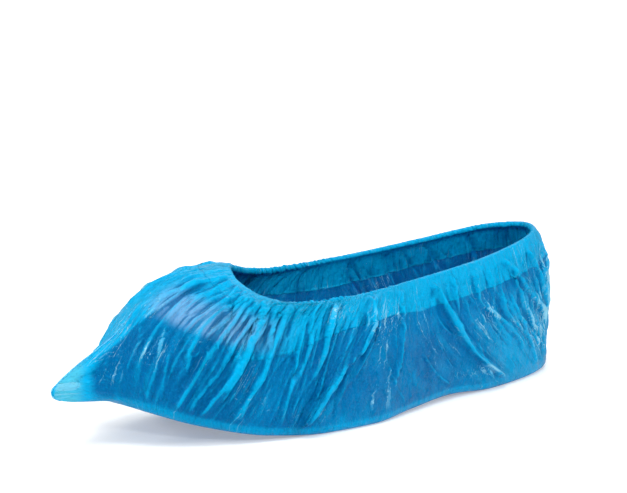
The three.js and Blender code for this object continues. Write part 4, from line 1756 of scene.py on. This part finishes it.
@dataclass(frozen=True)
class FilmFinish:
    """Thin glossy film, embossed, crinkled, a little see-through, with painted light, shade and
    glints that also stand for whitened creases.
    """

    name: str = "blue_film"
    deep: Colour = (0.0, 0.135, 0.37)
    blue: Colour = (0.0, 0.225, 0.51)
    bright: Colour = (0.0, 0.54, 0.92)
    pale: Colour = (0.10, 0.66, 0.82)
    # Colour of the painted glints and whitened creases
    glint_white: Colour = (0.48, 0.92, 1.0)
    # Colour of the painted highlight over the toe
    highlight_lilac: Colour = (0.26, 0.50, 0.80)
    through: Colour = (0.0, 0.34, 0.72)
    gloss_tint: Colour = (0.18, 0.70, 1.0)
    squiggles: Strokes = Strokes(15.0, 0.35, 1400.0, 0.58)
    crossing: Strokes = Strokes(-42.0, 0.14, 1150.0, 0.61)
    creases: Strokes = Strokes(0.0, 0.035, 1000.0, 0.60)
    ribs: Strokes = Strokes(0.0, 0.09, 620.0, 0.52)
    folds: Strokes = Strokes(0.0, 0.07, 600.0, 0.56)
    emboss_pitch: float = 0.0017
    alpha: float = 0.94
    glow: float = 0.3
    gloss: float = 0.22

    def make(self) -> bpy.types.Material:
        """Builds the material.

        Returns:
            The material.
        """
        tree = ShaderTree(self.name)
        across, down = tree.chart("film")
        fibre, _ = tree.chart("run")
        height, crest, painted_light, painted_toe_highlight, hems, glint_clusters = (tree.attribute(shade) for shade in SHADES)

        turn = 2 * math.pi / self.emboss_pitch
        dots = ((across + down) * turn).sine() * ((across - down) * turn).sine()
        cloud = tree.noise(tree.vector(across, down, 0.0), 30.0, 3.0)
        patch = tree.noise(tree.vector(across, down * 0.7, 0.5), 42.0, 2.0).eased(0.44, 0.62)
        streak = tree.noise(tree.vector(fibre, down * 0.12, 0.3), 260.0, 2.0)
        # Masks for painted highlights on the folds' crests and painted shade in their troughs
        crest_highlight = crest.eased(0.12, 0.7)
        groove_shade = (0.0 - crest).eased(0.04, 0.4)
        rise = height.eased(0.1, 3.0)
        trough_shade = (0.0 - height).eased(0.1, 1.2)
        jog = (tree.noise(tree.vector(fibre, 0.0, 0.4), 70.0, 0.0) - 0.5) * 0.22
        hem = 1.0 - (hems + jog).eased(0.97, 1.03)
        tail = painted_light.eased(0.5, 1.0)
        wander = (tree.noise(tree.vector(across, down, 0.8), 260.0, 1.0) - 0.5) * 0.004

        body = tree.mix(cloud.eased(0.32, 0.68), self.deep, self.blue)
        body = tree.mix(hem * 0.8, body, self.bright)
        # Painted light: paler over the toe, at the heel and along the tread's edge, palest at the
        # tail; painted shade where the value is below zero
        body = tree.mix(painted_light.eased(0.0, 0.5) * 0.9, body, self.bright)
        body = tree.mix(tail * 0.9, body, self.pale)
        body = tree.mix((0.0 - painted_light).most(0.0), body, self.deep)
        # Painted greyish-lilac highlight over the toe's side
        body = tree.mix(painted_toe_highlight * (0.45 + cloud.eased(0.35, 0.6) * 0.4), body, self.highlight_lilac)
        # Painted shade in the folds' troughs and beside their crests
        body = tree.mix((trough_shade * 0.5 + groove_shade * 0.5).least(0.8), body, self.deep)
        emboss = streak.eased(0.5, 0.8) * 0.35 + dots.eased(0.2, 1.0) * 0.12
        body = tree.mix(emboss, body, self.bright)
        # Painted speckle of light and shade on the crinkles, then painted highlights on the folds
        # and their crests
        grain = tree.noise(tree.vector(across, down, 0.9), 1000.0, 2.0)
        body = tree.mix((1.0 - grain).eased(0.5, 0.75) * 0.4, body, self.deep)
        body = tree.mix(grain.eased(0.5, 0.75) * 0.3 + rise * 0.4 + crest_highlight * 0.4, body, self.bright)
        # Painted glints: strokes that stand for light caught on crinkles and crests, and also for
        # whitened creases
        squiggles = tree.strokes(across + wander, down, self.squiggles)
        crossing = tree.strokes(across + wander, down, self.crossing)
        creases = tree.strokes(fibre + wander * 0.3, down, self.creases)
        ribs = tree.strokes(down + wander, across, self.ribs) * tail
        folds = tree.strokes(fibre + wander, down, self.folds) * glint_clusters
        glints = (squiggles + crossing) * (patch * 0.25 + glint_clusters * 0.6) + ribs * 0.5 + folds * 0.75
        glints = glints + creases * (0.08 + patch * 0.3 + glint_clusters * 0.5) + crest_highlight * glint_clusters
        body = tree.mix(glints.least(1.0) * 0.5, body, self.bright)
        body = tree.mix(glints.eased(0.15, 1.0) * 0.8, body, self.glint_white)

        crinkle = tree.noise(tree.vector(across, down * 0.6, 0.7), 120.0, 1.0, Noise.CELLS)
        facets = tree.noise(tree.vector(across + wander, down * 0.7, 0.2), 300.0, 0.0, Noise.CELLS)
        sparkle = tree.noise(tree.vector(across + wander, down * 0.7, 0.2), 800.0, 0.0, Noise.CELLS)
        pleats = tree.ridges(tree.vector(fibre, down * 0.06, 0.1), 190.0, 1.0)
        normal = tree.bump(crinkle, 0.0012, 0.8)
        normal = tree.bump(facets, 0.0007, 0.8, normal)
        normal = tree.bump(pleats, 0.0006, 0.8, normal)
        normal = tree.bump(sparkle, 0.0003, 0.8, normal)
        normal = tree.bump(ribs + squiggles + creases, 0.0002, 0.8, normal)
        normal = tree.bump(dots, 0.00006, 0.7, normal)

        surface = tree.node("ShaderNodeBsdfPrincipled", {}, {
            "Base Color": body, "Roughness": 0.28 - patch * 0.14, "IOR": 1.45, "Normal": normal,
            "Alpha": self.alpha, "Specular IOR Level": self.gloss,
            "Specular Tint": solid_colour(self.gloss_tint),
        })
        through = {"Color": solid_colour(self.through), "Normal": normal}
        glow = tree.node("ShaderNodeBsdfTranslucent", {}, through)
        mixed = tree.node("ShaderNodeMixShader", {}, {
            0: self.glow, 1: tree.signal(surface), 2: tree.signal(glow),
        })
        return tree.finish(tree.signal(mixed))


@dataclass(frozen=True)
class ElasticFinish:
    """Pale elastic thread with fine turns of covering."""

    name: str = "pale_elastic"
    light: Colour = (0.78, 0.86, 0.9)
    shade: Colour = (0.5, 0.62, 0.7)

    def make(self) -> bpy.types.Material:
        """Builds the material.

        Returns:
            The material.
        """
        tree = ShaderTree(self.name)
        place = tree.signal(tree.node("ShaderNodeTexCoord"), "Object")
        grain = tree.noise(place, 1400.0, 3.0)
        colour = tree.mix(grain.eased(0.35, 0.65), self.shade, self.light)
        shader = tree.node("ShaderNodeBsdfPrincipled", {}, {
            "Base Color": colour, "Roughness": 0.7, "Normal": tree.bump(grain, 0.0003, 0.6),
        })
        return tree.finish(tree.signal(shader))


@dataclass(frozen=True)
class WeldFinish:
    """Film melted into a bead: denser, paler and glossy."""

    name: str = "melted_film"
    deep: Colour = (0.0, 0.26, 0.56)
    pale: Colour = (0.08, 0.55, 0.82)

    def make(self) -> bpy.types.Material:
        """Builds the material.

        Returns:
            The material.
        """
        tree = ShaderTree(self.name)
        place = tree.signal(tree.node("ShaderNodeTexCoord"), "Object")
        beads = tree.noise(place, 900.0, 2.0)
        colour = tree.mix(beads.eased(0.35, 0.7), self.deep, self.pale)
        shader = tree.node("ShaderNodeBsdfPrincipled", {}, {
            "Base Color": colour, "Roughness": 0.26, "Normal": tree.bump(beads, 0.0003, 0.6),
        })
        return tree.finish(tree.signal(shader))


@dataclass(frozen=True)
class FloorFinish:
    """A plain pale studio floor."""

    name: str = "studio_floor"
    colour: Colour = (0.72, 0.72, 0.72)
    glow: float = 0.3

    def make(self) -> bpy.types.Material:
        """Builds the material.

        Returns:
            The material.
        """
        tree = ShaderTree(self.name)
        shader = tree.node("ShaderNodeBsdfPrincipled", {}, {
            "Base Color": solid_colour(self.colour), "Roughness": 0.6,
            "Emission Color": (1.0, 1.0, 1.0, 1.0), "Emission Strength": self.glow,
        })
        return tree.finish(tree.signal(shader))


@dataclass
class Studio:
    """The pale floor, the soft lights and the camera at the photograph's angle, in metres."""

    floor_size: float = 60.0
    azimuth: float = 41.0
    elevation: float = 12.5
    distance: float = 2.6
    lens: float = 263.5
    sensor: float = 36.0
    target: tuple[float, float, float] = (-0.0098, -0.0045, 0.060)
    aside: float = -0.00708
    above: float = 0.0306
    room_light: float = 0.72
    lit_height: float = 0.04
    lamps: tuple[Lamp, ...] = LAMPS

    def floor(self) -> None:
        """Lays the floor."""
        half = self.floor_size / 2
        mesh = bpy.data.meshes.new("floor")
        corners = [(-half, -half, 0), (half, -half, 0), (half, half, 0), (-half, half, 0)]
        mesh.from_pydata(corners, [], [(0, 1, 2, 3)])
        mesh.materials.append(FloorFinish().make())
        plane = bpy.data.objects.new("floor", mesh)
        bpy.context.scene.collection.objects.link(plane)

    def light(self) -> None:
        """Hangs the lights and sets the room's pale light."""
        for name, place, size, power in self.lamps:
            lamp = bpy.data.lights.new(name, "AREA")
            lamp.shape = "DISK"
            lamp.size = size
            lamp.energy = power
            holder = bpy.data.objects.new(name, lamp)
            holder.location = place
            aim = Vector((0.0, 0.0, self.lit_height)) - holder.location
            holder.rotation_euler = aim.to_track_quat("-Z", "Y").to_euler()
            bpy.context.scene.collection.objects.link(holder)
        world = bpy.data.worlds.new("room")
        world.use_nodes = True
        nodes, links = world.node_tree.nodes, world.node_tree.links
        sky = nodes["Background"]
        sky.inputs["Color"].default_value = (1.0, 1.0, 1.0, 1.0)
        seen = nodes.new("ShaderNodeLightPath")
        strength = nodes.new("ShaderNodeMapRange")
        strength.inputs["To Min"].default_value = self.room_light
        links.new(seen.outputs["Is Camera Ray"], strength.inputs["Value"])
        links.new(strength.outputs["Result"], sky.inputs["Strength"])
        bpy.context.scene.world = world

    def camera(self) -> None:
        """Sets the camera."""
        turn, tilt = math.radians(self.azimuth), math.radians(self.elevation)
        back = Vector((
            math.sin(turn) * math.cos(tilt), math.cos(turn) * math.cos(tilt), math.sin(tilt),
        ))
        right = Vector((0, 0, 1)).cross(back).normalized()
        up = back.cross(right)
        target = Vector(self.target)
        location = target + back * self.distance
        aim = target + right * self.aside + up * self.above
        lens = bpy.data.cameras.new("camera")
        lens.lens = self.lens
        lens.sensor_width = self.sensor
        holder = bpy.data.objects.new("camera", lens)
        holder.location = location
        holder.rotation_euler = (aim - location).to_track_quat("-Z", "Y").to_euler()
        bpy.context.scene.collection.objects.link(holder)
        bpy.context.scene.camera = holder

    def build(self) -> None:
        """Sets the whole studio up."""
        self.floor()
        self.light()
        self.camera()
        bpy.context.scene.view_settings.view_transform = "Standard"


def settle(piece: bpy.types.Object, nodes: Iterable[str] = ()) -> None:
    """Hands a piece to the part's body.

    Args:
        piece: The piece.
        nodes: The solids that it replaces.
    """
    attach(piece, "root")
    if nodes:
        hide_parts(*nodes)
    LOG.info("%s: %d faces", piece.name, len(piece.data.polygons))


def main() -> None:
    """Builds the overshoe and its studio."""
    logging.basicConfig(level=logging.INFO, format="%(name)s: %(message)s")
    Studio().build()
    form = WornForm()
    surface = FilmSurface(form, WallTable.of(form), Relief(), FibreMap())
    film, weld = FilmFinish().make(), WeldFinish().make()
    settle(FilmBody(surface).build(film), ("film_upper",))
    settle(FilmHem(surface).build(film))
    settle(FilmTread(surface).build(film), ("film_sole",))
    settle(WeldBead("toe_bead", surface, at_toe=True).build(weld), ("toe_weld",))
    settle(WeldBead("heel_bead", surface, at_toe=False).build(weld), ("heel_weld",))
    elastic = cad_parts["elastic_cord"]
    elastic.data.materials.clear()
    elastic.data.materials.append(ElasticFinish().make())
    LOG.info("elastic_cord: dressed")

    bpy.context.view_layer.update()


if __name__ == "__main__":
    main()
